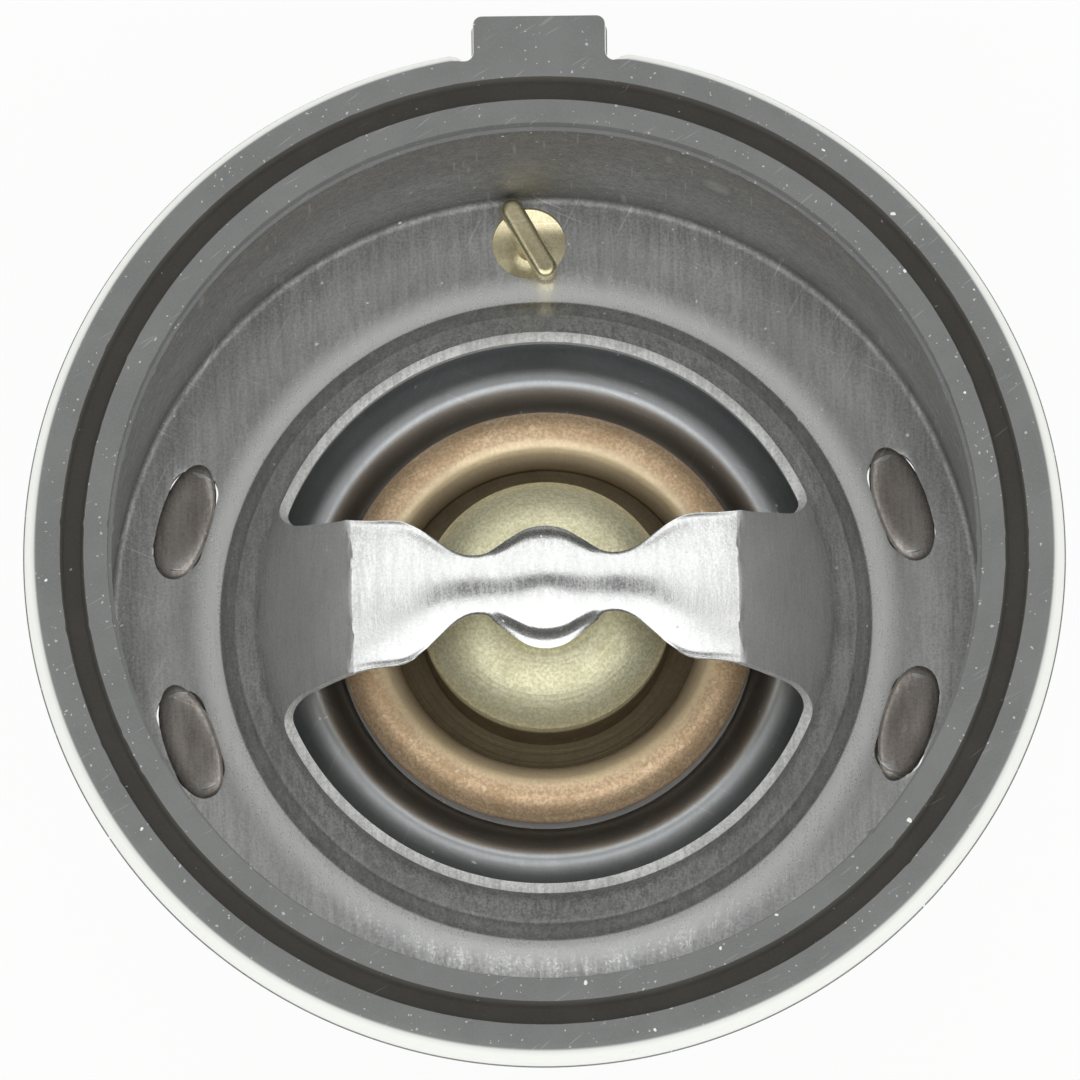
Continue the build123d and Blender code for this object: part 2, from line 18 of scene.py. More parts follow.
import bmesh
import bpy
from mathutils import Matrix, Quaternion, Vector

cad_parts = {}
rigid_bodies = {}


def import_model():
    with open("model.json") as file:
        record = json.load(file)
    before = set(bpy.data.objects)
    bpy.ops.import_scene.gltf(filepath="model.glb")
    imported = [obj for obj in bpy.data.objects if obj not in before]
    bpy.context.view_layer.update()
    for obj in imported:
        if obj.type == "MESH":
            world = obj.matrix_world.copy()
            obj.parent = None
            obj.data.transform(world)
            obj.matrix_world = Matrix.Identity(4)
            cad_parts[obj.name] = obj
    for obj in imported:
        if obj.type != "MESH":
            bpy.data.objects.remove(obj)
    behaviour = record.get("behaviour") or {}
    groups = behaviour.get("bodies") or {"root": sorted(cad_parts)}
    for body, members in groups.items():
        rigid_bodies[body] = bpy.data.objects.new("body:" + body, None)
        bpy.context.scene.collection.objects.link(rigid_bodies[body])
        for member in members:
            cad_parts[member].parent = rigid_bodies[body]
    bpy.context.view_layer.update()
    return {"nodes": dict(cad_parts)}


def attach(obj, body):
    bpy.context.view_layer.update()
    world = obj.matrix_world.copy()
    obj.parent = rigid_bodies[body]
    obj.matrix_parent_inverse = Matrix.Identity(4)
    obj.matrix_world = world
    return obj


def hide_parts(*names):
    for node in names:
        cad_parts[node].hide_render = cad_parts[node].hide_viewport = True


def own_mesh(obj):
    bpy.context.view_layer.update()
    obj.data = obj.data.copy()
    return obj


MM = 0.001
LOG = logging.getLogger("thermostat")

Colour = tuple[float, float, float]
Point = tuple[float, float, float]
Profile = list[tuple[float, float]]
Socket = bpy.types.NodeSocket
Outputs = bpy.types.NodeOutputs


class Body(Enum):
    """The rigid bodies of the mechanism."""

    HOUSING = "housing"
    VALVE = "valve"
    BYPASS = "bypass"
    VENT = "vent"


# ---------------------------------------------------------------------------- node graphs


class Graph:
    """A node tree while it is drawn."""

    def __init__(self, tree: bpy.types.NodeTree) -> None:
        """Start on an empty tree."""
        self.tree = tree
        tree.nodes.clear()

    def feed(self, socket: Socket, value: object) -> None:
        """Link a socket to another, or set its value.

        Args:
            socket: the input that is fed.
            value: an output socket, a number, a vector or a colour.
        """
        if isinstance(value, Socket):
            self.tree.links.new(value, socket)
        elif socket.type == "RGBA":
            socket.default_value = (*value[:3], 1.0)
        else:
            socket.default_value = value

    def node(self, kind: str, *ordered: object, settings: dict[str, object] | None = None,
             **named: object) -> bpy.types.Node:
        """Add one node.

        Args:
            kind: Blender's name of the node, without its ShaderNode prefix.
            ordered: values or sockets for the first inputs.
            settings: attributes such as an operation.
            named: values or sockets by input name, with _ for a space.

        Returns:
            The new node.
        """
        made = self.tree.nodes.new("ShaderNode" + kind)
        for attribute, value in (settings or {}).items():
            setattr(made, attribute, value)
        for index, value in enumerate(ordered):
            self.feed(made.inputs[index], value)
        for name, value in named.items():
            self.feed(made.inputs[name.replace("_", " ")], value)
        return made

    def maths(self, operation: str, *values: object, clamp: bool = False) -> Socket:
        """Do one sum on numbers and return its socket."""
        made = self.node("Math", *values, settings={"operation": operation, "use_clamp": clamp})
        return made.outputs[0]

    def plus(self, *values: object, clamp: bool = False) -> Socket:
        """Add two numbers."""
        return self.maths("ADD", *values, clamp=clamp)

    def minus(self, *values: object, clamp: bool = False) -> Socket:
        """Take the second number from the first."""
        return self.maths("SUBTRACT", *values, clamp=clamp)

    def times(self, *values: object) -> Socket:
        """Multiply two numbers."""
        return self.maths("MULTIPLY", *values)

    def most(self, *values: object) -> Socket:
        """The larger of two numbers."""
        return self.maths("MAXIMUM", *values)

    def remap(self, value: object, low: object, high: object, start: float = 0.0,
              end: float = 1.0) -> Socket:
        """Smooth step of a value from low..high to start..end.

        Args:
            value: the value that is mapped.
            low: where the step starts.
            high: where it ends.
            start: the result at low.
            end: the result at high.

        Returns:
            The mapped value.
        """
        made = self.node("MapRange", value, low, high, start, end,
                         settings={"interpolation_type": "SMOOTHSTEP"})
        return made.outputs[0]

    def mix(self, share: object, first: object, second: object,
            mode: str = "MIX") -> Socket:
        """Mix two colours and return the colour's socket.

        Args:
            share: share of the second colour.
            first: the colour at 0.
            second: the colour at 1.
            mode: the mix's kind.

        Returns:
            The mixed colour's socket.
        """
        made = self.node("Mix", settings={"data_type": "RGBA", "blend_type": mode})
        self.feed(made.inputs[0], share)
        self.feed(made.inputs[6], first)
        self.feed(made.inputs[7], second)
        return made.outputs[2]

    def place(self) -> Socket:
        """Position on the object, in its own frame."""
        return self.node("TexCoord").outputs["Object"]

    def radius(self) -> Socket:
        """Distance from the valve's axis, in metres.

        Returns:
            The distance.
        """
        parts = self.node("SeparateXYZ", self.place())
        flat = self.node("CombineXYZ", parts.outputs[0], parts.outputs[1], 0.0)
        length = self.node("VectorMath", flat.outputs[0], settings={"operation": "LENGTH"})
        return length.outputs["Value"]

    def noise(self, vector: object, scale: float, detail: float = 3.0, rough: float = 0.55,
              distortion: float = 0.0) -> Socket:
        """Noise as a number from 0 to 1.

        Args:
            vector: where it is looked up.
            scale: cells in a metre.
            detail: number of finer layers.
            rough: weight of the finer layers.
            distortion: how far it is bent.

        Returns:
            The noise.
        """
        made = self.node("TexNoise", Vector=vector, Scale=scale, Detail=detail, Roughness=rough,
                         Distortion=distortion)
        return made.outputs[0]


class Effect(Enum):
    """Shader groups that several finishes share."""

    GRAIN = "rolled_grain"
    STAIN = "soft_stain"
    SPECKS = "dust_specks"
    SCRATCHES = "fine_scratches"
    RINGS = "turned_rings"
    BAND = "radial_band"
    LEVEL = "level_band"
    SPAN = "span_band"


class Effects:
    """Makes each shared group once and places it in materials."""

    _trees: dict[Effect, bpy.types.NodeTree] = {}

    @classmethod
    def place(cls, graph: Graph, effect: Effect, **inputs: object) -> Socket:
        """Put a group into a material's graph.

        Args:
            graph: the material's graph.
            effect: which group.
            inputs: the group's named inputs.

        Returns:
            The group's mask.
        """
        if effect not in cls._trees:
            cls._trees[effect] = cls._make(effect)
        made = graph.node("Group", settings={"node_tree": cls._trees[effect]})
        for name, value in inputs.items():
            graph.feed(made.inputs[name.replace("_", " ")], value)
        return made.outputs["Mask"]

    @classmethod
    def band(cls, graph: Graph, inner: float, outer: float) -> Socket:
        """Radial mask between two radii in millimetres."""
        return cls.place(graph, Effect.BAND, Inner=inner * MM, Outer=outer * MM)

    @classmethod
    def _make(cls, effect: Effect) -> bpy.types.NodeTree:
        """Draw one group.

        Args:
            effect: which group.

        Returns:
            The group.
        """
        drawers = {
            Effect.GRAIN: (cls._grain, {"Across": 5000.0, "Along": 500.0, "Contrast": 0.5}),
            Effect.STAIN: (cls._stain, {"Scale": 90.0, "Cover": 0.5, "Softness": 0.12}),
            Effect.SPECKS: (cls._specks, {"Scale": 900.0, "Amount": 0.1, "Size": 0.2}),
            Effect.SCRATCHES: (cls._scratches, {"Density": 120.0, "Amount": 0.2, "Angle": 0.4}),
            Effect.RINGS: (cls._rings, {"Frequency": 6000.0, "Contrast": 0.4}),
            Effect.BAND: (cls._band, {"Inner": 0.01, "Outer": 0.011}),
            Effect.LEVEL: (cls._level, {"Low": -0.02, "High": -0.019}),
            Effect.SPAN: (cls._span, {"Near": 0.011, "Far": 0.012}),
        }
        draw, sockets = drawers[effect]
        tree = bpy.data.node_groups.new(effect.value, "ShaderNodeTree")
        for name, value in sockets.items():
            socket = tree.interface.new_socket(name=name, in_out="INPUT",
                                               socket_type="NodeSocketFloat")
            socket.default_value = value
        tree.interface.new_socket(name="Mask", in_out="OUTPUT", socket_type="NodeSocketFloat")
        graph = Graph(tree)
        source = tree.nodes.new("NodeGroupInput")
        sink = tree.nodes.new("NodeGroupOutput")
        graph.feed(sink.inputs["Mask"], draw(graph, source.outputs))
        return tree

    @staticmethod
    def _grain(graph: Graph, given: Outputs) -> Socket:
        """Fine streaks of the rolling mill, along Y.

        Args:
            graph: the graph that is drawn.
            given: the group's inputs.

        Returns:
            The mask.
        """
        scale = graph.node("CombineXYZ", given["Across"], given["Along"], given["Across"])
        spread = graph.node("VectorMath", graph.place(), scale.outputs[0],
                            settings={"operation": "MULTIPLY"}).outputs[0]
        broad = graph.noise(spread, 0.35, 2.0)
        fine = graph.noise(spread, 1.0, 3.0, 0.7)
        grit = graph.noise(graph.place(), 6000.0, 2.0, 0.75)
        both = graph.plus(graph.times(broad, 0.25),
                           graph.times(fine, 0.33))
        both = graph.plus(both, graph.times(grit, 0.42))
        away = graph.times(graph.minus(both, 0.5),
                           graph.times(given["Contrast"], 6.0))
        return graph.plus(away, 0.5, clamp=True)

    @staticmethod
    def _stain(graph: Graph, given: Outputs) -> Socket:
        """Soft patches.

        Args:
            graph: the graph that is drawn.
            given: the group's inputs.

        Returns:
            The mask.
        """
        patch = graph.node("TexNoise", Vector=graph.place(), Scale=given["Scale"], Detail=5.0,
                           Roughness=0.6, Distortion=0.4).outputs[0]
        low = graph.minus(given["Cover"], given["Softness"])
        high = graph.plus(given["Cover"], given["Softness"])
        return graph.remap(patch, low, high, 1.0, 0.0)

    @staticmethod
    def _specks(graph: Graph, given: Outputs) -> Socket:
        """Small flakes of dust, few and of different sizes.

        Args:
            graph: the graph that is drawn.
            given: the group's inputs.

        Returns:
            The mask.
        """
        shift = graph.node("TexNoise", Vector=graph.place(), Scale=2600.0, Detail=1.0).outputs[1]
        bent = graph.node("VectorMath", shift, (0.00035, 0.00035, 0.00035),
                          settings={"operation": "MULTIPLY"}).outputs[0]
        where = graph.node("VectorMath", graph.place(), bent,
                           settings={"operation": "ADD"}).outputs[0]
        cells = graph.node("TexVoronoi", Vector=where, Scale=given["Scale"])
        chance = graph.node("SeparateXYZ", cells.outputs["Color"]).outputs
        present = graph.maths("LESS_THAN", chance[0], given["Amount"])
        size = graph.times(given["Size"], graph.plus(chance[1], 0.35))
        inside = graph.maths("LESS_THAN", cells.outputs["Distance"], size)
        return graph.times(present, inside)

    @staticmethod
    def _scratches(graph: Graph, given: Outputs) -> Socket:
        """Short hairlines at two slants.

        Args:
            graph: the graph that is drawn.
            given: the group's inputs.

        Returns:
            The mask.
        """
        masks = []
        for turn, stretch in ((1.0, 26.0), (-2.3, 34.0)):
            angle = graph.times(given["Angle"], turn)
            turned = graph.node("VectorRotate", settings={"rotation_type": "Z_AXIS"},
                                Vector=graph.place(), Angle=angle).outputs[0]
            wide = graph.node("VectorMath", turned, (stretch, 1.0, 1.0),
                              settings={"operation": "MULTIPLY"}).outputs[0]
            cells = graph.node("TexVoronoi", Vector=wide, Scale=given["Density"])
            chance = graph.node("SeparateXYZ", cells.outputs["Color"]).outputs
            present = graph.maths("LESS_THAN", chance[0], given["Amount"])
            line = graph.node("MapRange", cells.outputs["Distance"], 0.32, 0.16, 0.0, 1.0)
            masks.append(graph.times(present, line.outputs[0]))
        return graph.most(*masks)

    @staticmethod
    def _rings(graph: Graph, given: Outputs) -> Socket:
        """Marks that run round the valve's axis.

        Args:
            graph: the graph that is drawn.
            given: the group's inputs.

        Returns:
            The mask.
        """
        line = graph.node("TexNoise", W=graph.times(graph.radius(), given["Frequency"]),
                          Scale=1.0, Detail=3.0, settings={"noise_dimensions": "1D"}).outputs[0]
        away = graph.times(graph.minus(line, 0.5),
                           graph.times(given["Contrast"], 4.0))
        return graph.plus(away, 0.5, clamp=True)

    @staticmethod
    def _band(graph: Graph, given: Outputs) -> Socket:
        """0 inside the inner radius, 1 beyond the outer one."""
        return graph.remap(graph.radius(), given["Inner"], given["Outer"])

    @staticmethod
    def _level(graph: Graph, given: Outputs) -> Socket:
        """1 under the low level, 0 over the high one."""
        level = graph.node("SeparateXYZ", graph.place()).outputs[2]
        return graph.remap(level, given["Low"], given["High"], 1.0, 0.0)

    @staticmethod
    def _span(graph: Graph, given: Outputs) -> Socket:
        """1 near the middle of the bridge, 0 beyond the far distance along it."""
        along = graph.maths("ABSOLUTE", graph.node("SeparateXYZ", graph.place()).outputs[0])
        return graph.remap(along, given["Near"], given["Far"], 1.0, 0.0)


# ---------------------------------------------------------------------------- finishes

PALE_DUST: Colour = (0.86, 0.87, 0.85)
# painted highlight round the foot of the seat's collar
COLLAR_FOOT_HIGHLIGHT: Colour = (0.97, 0.98, 0.97)
# painted light on the bridge's strip and legs
BRIDGE_LIGHT: Colour = (0.76, 0.77, 0.76)
RUBBER_DUST: Colour = (0.68, 0.69, 0.66)
# painted sheen on the seal's outer side
RUBBER_SHEEN: Colour = (0.8, 0.81, 0.77)


@dataclass(frozen=True)
class Finish:
    """A surface with its own material."""

    name: str
    colour: Colour
    roughness: float

    def material(self) -> bpy.types.Material:
        """Make the material, or find it if it is made already.

        Returns:
            The material.
        """
        found = bpy.data.materials.get(self.name)
        if found:
            return found
        made = bpy.data.materials.new(self.name)
        made.use_nodes = True
        graph = Graph(made.node_tree)
        shader = graph.node("BsdfPrincipled")
        out = graph.node("OutputMaterial")
        graph.feed(out.inputs["Surface"], shader.outputs[0])
        self.paint(graph, shader)
        return made

    def paint(self, graph: Graph, shader: bpy.types.Node) -> None:
        """Feed the shader's sockets."""
        raise NotImplementedError

    def bump(self, graph: Graph, shader: bpy.types.Node, height: object, depth: float) -> None:
        """Raise the surface by a mask.

        Args:
            graph: the material's graph.
            shader: the shader that gets the normal.
            height: mask from 0 to 1.
            depth: height of 1, in millimetres.
        """
        made = graph.node("Bump", Strength=1.0, Distance=depth * MM, Height=height)
        graph.feed(shader.inputs["Normal"], made.outputs[0])


@dataclass(frozen=True)
class SheetSteel(Finish):
    """Rolled and pressed steel sheet."""

    dark: Colour = (0.3, 0.3, 0.29)
    # colour of the painted shade towards the cup's wall and on the seat's collar
    painted_shade: Colour = (0.13, 0.125, 0.12)
    grain: float = 0.5
    grain_share: float = 0.8
    grain_depth: float = 0.0022
    dust: float = 0.03
    scratch: float = 0.12
    rings: float = 0.25
    ring_reach: float = 0.0
    spread: float = 0.16
    # radius and share of the painted shade towards the cup's wall
    wall_r: float = 0.0
    wall_shade_share: float = 0.0
    # radii and share of the painted shade on the seat's collar, and share of the painted highlight
    # round its foot
    collar: tuple[float, float, float] = (0.0, 0.0, 0.0)
    collar_shade_share: float = 0.0
    foot_highlight_share: float = 0.0
    matt: float = 0.0
    # shares of the painted light on the bridge's strip and on its legs
    strip_light_share: float = 0.0
    leg_light_share: float = 0.0
    metal: float = 1.0
    stain_share: float = 0.3
    ring_share: float = 0.25
    wall_fade: float = 5.6
    wall_rough: float = 0.26
    leg_band: tuple[float, float] = (17.4, 16.6)
    strip_band: tuple[float, float] = (14.5, 14.0)
    strip_span: tuple[float, float] = (11.45, 11.6)
    matt_band: tuple[float, float] = (19.4, 17.6)
    floor_matt: float = 0.17

    def paint(self, graph: Graph, shader: bpy.types.Node) -> None:
        """Streaked, faintly stained metal with dust and hairlines.

        Args:
            graph: the graph that is drawn.
            shader: the shader whose inputs are fed.
        """
        grain = Effects.place(graph, Effect.GRAIN, Contrast=self.grain)
        stain = Effects.place(graph, Effect.STAIN, Scale=170.0, Cover=0.46, Softness=0.16)
        rings = self._rings(graph)
        tone = graph.mix(graph.times(grain, self.grain_share), self.colour, self.dark)
        tone = graph.mix(graph.times(stain, self.stain_share), tone, self.dark)
        tone = graph.mix(graph.times(rings, self.ring_share), tone, self.dark)
        dust = Effects.place(graph, Effect.SPECKS, Scale=2900.0, Amount=self.dust, Size=0.22)
        scratch = Effects.place(graph, Effect.SCRATCHES, Density=190.0, Amount=self.scratch,
                                Angle=0.5)
        light = graph.most(graph.times(dust, 0.7), graph.times(scratch, 0.25))
        rough = graph.plus(graph.times(grain, self.spread), self.roughness - self.spread / 2)
        metal: object = self.metal
        # painted shade by the wall and on the collar, a painted highlight round the collar's foot
        # and painted light on the bridge
        if self.wall_r:
            tone, rough = self._wall_shade(graph, tone, rough)
        if self.collar_shade_share:
            tone, metal = self._collar_shade_and_highlight(graph, tone, metal)
        if self.matt:
            tone, rough = self._bridge(graph, tone, rough)
        rough = graph.plus(rough, graph.times(dust, 0.3), clamp=True)
        graph.feed(shader.inputs["Base Color"], graph.mix(light, tone, PALE_DUST))
        graph.feed(shader.inputs["Roughness"], rough)
        graph.feed(shader.inputs["Metallic"], graph.minus(metal, dust, clamp=True))
        self.bump(graph, shader, grain, self.grain_depth)

    def _rings(self, graph: Graph) -> Socket:
        """Turned marks, kept to the middle where a reach is given.

        Args:
            graph: the graph that is drawn.

        Returns:
            The mask.
        """
        rings = Effects.place(graph, Effect.RINGS, Frequency=3200.0, Contrast=self.rings)
        if not self.ring_reach:
            return rings
        inside = Effects.band(graph, self.ring_reach * 1.1, self.ring_reach)
        return graph.plus(graph.times(rings, inside),
                          graph.times(graph.minus(1.0, inside), 0.5))

    def _wall_shade(self, graph: Graph, tone: Socket, rough: Socket) -> tuple[Socket, Socket]:
        """Painted shade and duller metal towards the cup's wall.

        Args:
            graph: the graph that is drawn.
            tone: the colour so far.
            rough: the roughness so far.

        Returns:
            The new colour and roughness.
        """
        wall = Effects.band(graph, self.wall_r - self.wall_fade, self.wall_r)
        tone = graph.mix(graph.times(wall, self.wall_shade_share), tone, self.painted_shade)
        return tone, graph.plus(rough, graph.times(wall, self.wall_rough))

    def _collar_shade_and_highlight(self, graph: Graph, tone: Socket, metal: object) -> tuple[Socket, Socket]:
        """Painted shade on the seat's collar, and a painted highlight round its foot.

        Args:
            graph: the graph that is drawn.
            tone: the colour so far.
            metal: the metallic share so far.

        Returns:
            The new colour and metallic share.
        """
        inner, foot, out = self.collar
        rise = Effects.band(graph, inner, foot)
        fall = Effects.band(graph, out + 0.12, out)
        shade = graph.times(graph.times(rise, fall), self.collar_shade_share)
        tone = graph.mix(shade, tone, self.painted_shade)
        # painted highlight round the collar's foot
        near = Effects.band(graph, out + 2.2, out + 0.5)
        edge = Effects.band(graph, out - 0.05, out + 0.1)
        foot_highlight = graph.times(graph.times(near, edge), self.foot_highlight_share)
        tone = graph.mix(foot_highlight, tone, COLLAR_FOOT_HIGHLIGHT)
        return tone, graph.minus(metal, graph.times(foot_highlight, 0.6))

    def _bridge(self, graph: Graph, tone: Socket, rough: Socket) -> tuple[Socket, Socket]:
        """Painted light on the bridge, brightest on its strip, and matt metal round it.

        Args:
            graph: the graph that is drawn.
            tone: the colour so far.
            rough: the roughness so far.

        Returns:
            The new colour and roughness.
        """
        leg = Effects.band(graph, *self.leg_band)
        near, far = self.strip_span
        span = Effects.place(graph, Effect.SPAN, Near=near * MM, Far=far * MM)
        strip = graph.times(span, Effects.band(graph, *self.strip_band))
        # painted light, strongest on the strip
        bridge_light = graph.plus(graph.times(leg, self.leg_light_share),
                           graph.times(strip, self.strip_light_share - self.leg_light_share))
        tone = graph.mix(bridge_light, tone, BRIDGE_LIGHT)
        middle = Effects.band(graph, *self.matt_band)
        dull = graph.times(graph.minus(1.0, strip),
                           graph.plus(graph.times(middle, 1 - self.floor_matt), self.floor_matt))
        return tone, graph.plus(rough, graph.times(dull, self.matt))


@dataclass(frozen=True)
class TurnedMetal(Finish):
    """Copper or brass that was spun, turned or drawn."""

    dark: Colour = (0.2, 0.13, 0.08)
    # colour of the bright flecks and hairlines, and of the painted highlight round the inner edge
    fleck_and_highlight: Colour = (0.9, 0.7, 0.45)
    stain: float = 0.45
    stain_share: float = 0.3
    rings: float = 0.3
    flecks: float = 0.12
    fleck_scale: float = 2600.0
    # radius inside which a painted highlight lies, and how soft its edge is
    inner_r: float = 0.0
    inner_soft: float = 1.0
    # level below which painted shade fills the recess, and its colour
    painted_shade_level: float = 0.0
    painted_shade: Colour = (0.05, 0.035, 0.02)
    grit_share: float = 0.45
    metal: float = 1.0
    depth: float = 0.001

    def paint(self, graph: Graph, shader: bpy.types.Node) -> None:
        """Ringed metal with dull patches and bright flecks, a painted highlight round the inner
        edge and painted shade below a level, where these are given.

        Args:
            graph: the graph that is drawn.
            shader: the shader whose inputs are fed.
        """
        rings = Effects.place(graph, Effect.RINGS, Frequency=4200.0, Contrast=self.rings)
        stain = Effects.place(graph, Effect.STAIN, Scale=430.0, Cover=self.stain, Softness=0.14)
        grit = graph.noise(graph.place(), 4800.0, 3.0, 0.75)
        tone = graph.mix(graph.times(stain, self.stain_share), self.colour, self.dark)
        tone = graph.mix(graph.remap(grit, 0.38, 0.62, 0.0, self.grit_share), tone, self.dark)
        tone = graph.mix(graph.times(rings, 0.25), tone, self.dark)
        flecks = Effects.place(graph, Effect.SPECKS, Scale=self.fleck_scale, Amount=self.flecks,
                               Size=0.33)
        scratch = Effects.place(graph, Effect.SCRATCHES, Density=170.0, Amount=0.12, Angle=0.7)
        light = graph.most(graph.times(flecks, 0.6),
                            graph.times(scratch, 0.5))
        if self.inner_r:
            # painted highlight round the inner edge
            lip = Effects.band(graph, self.inner_r + self.inner_soft, self.inner_r)
            light = graph.most(light, graph.times(lip, 0.75))
        tone = graph.mix(light, tone, self.fleck_and_highlight)
        # painted shade in the recess below the level
        if self.painted_shade_level:
            low = Effects.place(graph, Effect.LEVEL, Low=(self.painted_shade_level - 0.5) * MM,
                                High=(self.painted_shade_level + 0.3) * MM)
            tone = graph.mix(graph.times(low, 0.9), tone, self.painted_shade)
        graph.feed(shader.inputs["Base Color"], tone)
        shader.inputs["Metallic"].default_value = self.metal
        rough = graph.plus(graph.times(stain, 0.12), self.roughness)
        rough = graph.minus(rough, graph.times(light, 0.12), clamp=True)
        graph.feed(shader.inputs["Roughness"], rough)
        self.bump(graph, shader, graph.plus(grit, graph.times(rings, 0.6)),
                  self.depth)


@dataclass(frozen=True)
class Rubber(Finish):
    """Moulded rubber with bloom and lint on it."""

    bloom: Colour = (0.3, 0.31, 0.3)
    bloom_share: float = 0.3
    specks: float = 0.13
    gloss: float = 0.5
    # radius and share of the painted sheen on the outer side
    outer_r: float = 0.0
    side_sheen_share: float = 0.0

    def paint(self, graph: Graph, shader: bpy.types.Node) -> None:
        """Matt rubber, paler in patches and freckled with dust, with a painted sheen on its outer
        side where a radius is given.

        Args:
            graph: the graph that is drawn.
            shader: the shader whose inputs are fed.
        """
        stain = Effects.place(graph, Effect.STAIN, Scale=260.0, Cover=0.5, Softness=0.2)
        grit = graph.noise(graph.place(), 7000.0, 3.0, 0.75)
        tone = graph.mix(graph.times(stain, self.bloom_share), self.colour, self.bloom)
        tone = graph.mix(graph.remap(grit, 0.4, 0.8, 0.0, 0.5), tone, self.bloom)
        # painted sheen, paler where the face turns sideways
        if self.outer_r:
            sheen_band = Effects.band(graph, self.outer_r - 0.6, self.outer_r - 0.3)
            normal = graph.node("NewGeometry").outputs["Normal"]
            side = graph.remap(graph.node("SeparateXYZ", normal).outputs[2], 0.75, 0.45)
            tone = graph.mix(graph.times(graph.times(sheen_band, side),
                                         self.side_sheen_share), tone, RUBBER_SHEEN)
        small = Effects.place(graph, Effect.SPECKS, Scale=4300.0, Amount=self.specks, Size=0.24)
        large = Effects.place(graph, Effect.SPECKS, Scale=1500.0, Amount=self.specks * 0.22,
                              Size=0.16)
        hair = Effects.place(graph, Effect.SCRATCHES, Density=420.0, Amount=self.specks * 0.25,
                             Angle=0.9)
        dust = graph.most(graph.times(small, 0.45), large)
        dust = graph.most(graph.times(hair, 0.2), dust)
        graph.feed(shader.inputs["Base Color"], graph.mix(dust, tone, RUBBER_DUST))
        shader.inputs["Metallic"].default_value = 0.0
        shader.inputs["Specular IOR Level"].default_value = self.gloss
        graph.feed(shader.inputs["Roughness"],
                   graph.plus(graph.times(grit, 0.2), self.roughness - 0.1))
        self.bump(graph, shader, grit, 0.004)


@dataclass(frozen=True)
class Plain(Finish):
    """Moulded plastic or wax."""

    dark: Colour = (0.4, 0.4, 0.38)

    def paint(self, graph: Graph, shader: bpy.types.Node) -> None:
        """Faintly clouded and grained.

        Args:
            graph: the graph that is drawn.
            shader: the shader whose inputs are fed.
        """
        stain = Effects.place(graph, Effect.STAIN, Scale=320.0, Cover=0.48, Softness=0.2)
        grit = graph.noise(graph.place(), 4200.0, 3.0, 0.6)
        graph.feed(shader.inputs["Base Color"],
                   graph.mix(graph.times(stain, 0.4), self.colour, self.dark))
        shader.inputs["Metallic"].default_value = 0.0
        shader.inputs["Roughness"].default_value = self.roughness
        self.bump(graph, shader, grit, 0.003)


# painted shade towards the wall and on the collar, a painted highlight round the collar's foot and
# painted light on the bridge
PRESSED_STEEL = SheetSteel("pressed_steel", (0.96, 0.97, 0.955), 0.24, dark=(0.42, 0.43, 0.425),
                           grain=0.9, ring_reach=20.0, wall_r=25.9, wall_shade_share=0.66,
                           collar=(17.3, 19.0, 19.45), collar_shade_share=0.2, foot_highlight_share=1.0,
                           matt=0.45, strip_light_share=0.85, leg_light_share=0.5)
# cut faces: bare sheared steel, whitened into a painted highlight
SHEARED_STEEL_HIGHLIGHT = SheetSteel("sheared_steel_highlight", (0.97, 0.97, 0.96), 0.65, dark=(0.5, 0.5, 0.49),
                           grain=1.0, dust=0.3, grain_depth=0.01, rings=0.0, metal=0.35)
# eased edges: whitened steel, a painted highlight
EDGE_HIGHLIGHT = SheetSteel("edge_highlight_steel", (0.98, 0.98, 0.97), 0.5, dark=(0.85, 0.85, 0.84),
                            grain=0.5, grain_share=0.4, dust=0.05, grain_depth=0.006, rings=0.0,
                            metal=0.1)
FRAME_STEEL = SheetSteel("frame_steel_sheet", (0.62, 0.62, 0.6), 0.36, dark=(0.35, 0.35, 0.34),
                         grain=0.4)
FOOT_STEEL = SheetSteel("foot_steel", (0.5, 0.475, 0.45), 0.4, dark=(0.2, 0.17, 0.145), grain=0.8,
                        rings=0.1, scratch=0.03, grain_depth=0.003)
VALVE_STEEL = SheetSteel("valve_steel_sheet", (0.64, 0.67, 0.685), 0.42, dark=(0.4, 0.41, 0.42),
                         grain=0.25, rings=0.4, dust=0.03, grain_depth=0.0012)
GROUND_STEEL = SheetSteel("ground_steel", (0.68, 0.68, 0.66), 0.26, dark=(0.42, 0.42, 0.41),
                          grain=0.12, rings=0.1, dust=0.02)
WIRE_STEEL = SheetSteel("wire_steel", (0.46, 0.45, 0.42), 0.38, dark=(0.2, 0.18, 0.15), grain=0.3,
                        rings=0.1)
# painted highlight round the inner edge, painted shade in the recess between bead and dome
COPPER = TurnedMetal("dull_copper", (1.0, 0.76, 0.5), 0.42, dark=(0.55, 0.36, 0.2),
                     fleck_and_highlight=(1.0, 0.86, 0.6), inner_r=9.9, inner_soft=1.2, painted_shade_level=-16.3,
                     painted_shade=(0.1, 0.065, 0.03), stain_share=0.4, grit_share=0.65, flecks=0.2,
                     metal=0.62, depth=0.012)
# painted shade in the recess between dome and bead
BRASS = TurnedMetal("satin_brass", (1.0, 0.98, 0.72), 0.42, dark=(0.6, 0.55, 0.31),
                    fleck_and_highlight=(1.0, 0.95, 0.66), flecks=0.2, painted_shade_level=-13.2,
                    painted_shade=(0.1, 0.065, 0.03), stain_share=0.3, grit_share=0.65, rings=0.6,
                    metal=0.62, depth=0.012)
COIN_BRASS = TurnedMetal("coined_brass", (0.93, 0.86, 0.6), 0.26, dark=(0.6, 0.5, 0.26),
                         fleck_and_highlight=(1.0, 0.97, 0.82), stain_share=0.15, rings=0.0, flecks=0.05)
# painted sheen on the outer side
SEAL_RUBBER = Rubber("seal_rubber", (0.125, 0.13, 0.126), 0.6, bloom=(0.19, 0.195, 0.19),
                     outer_r=30.0, side_sheen_share=0.88)
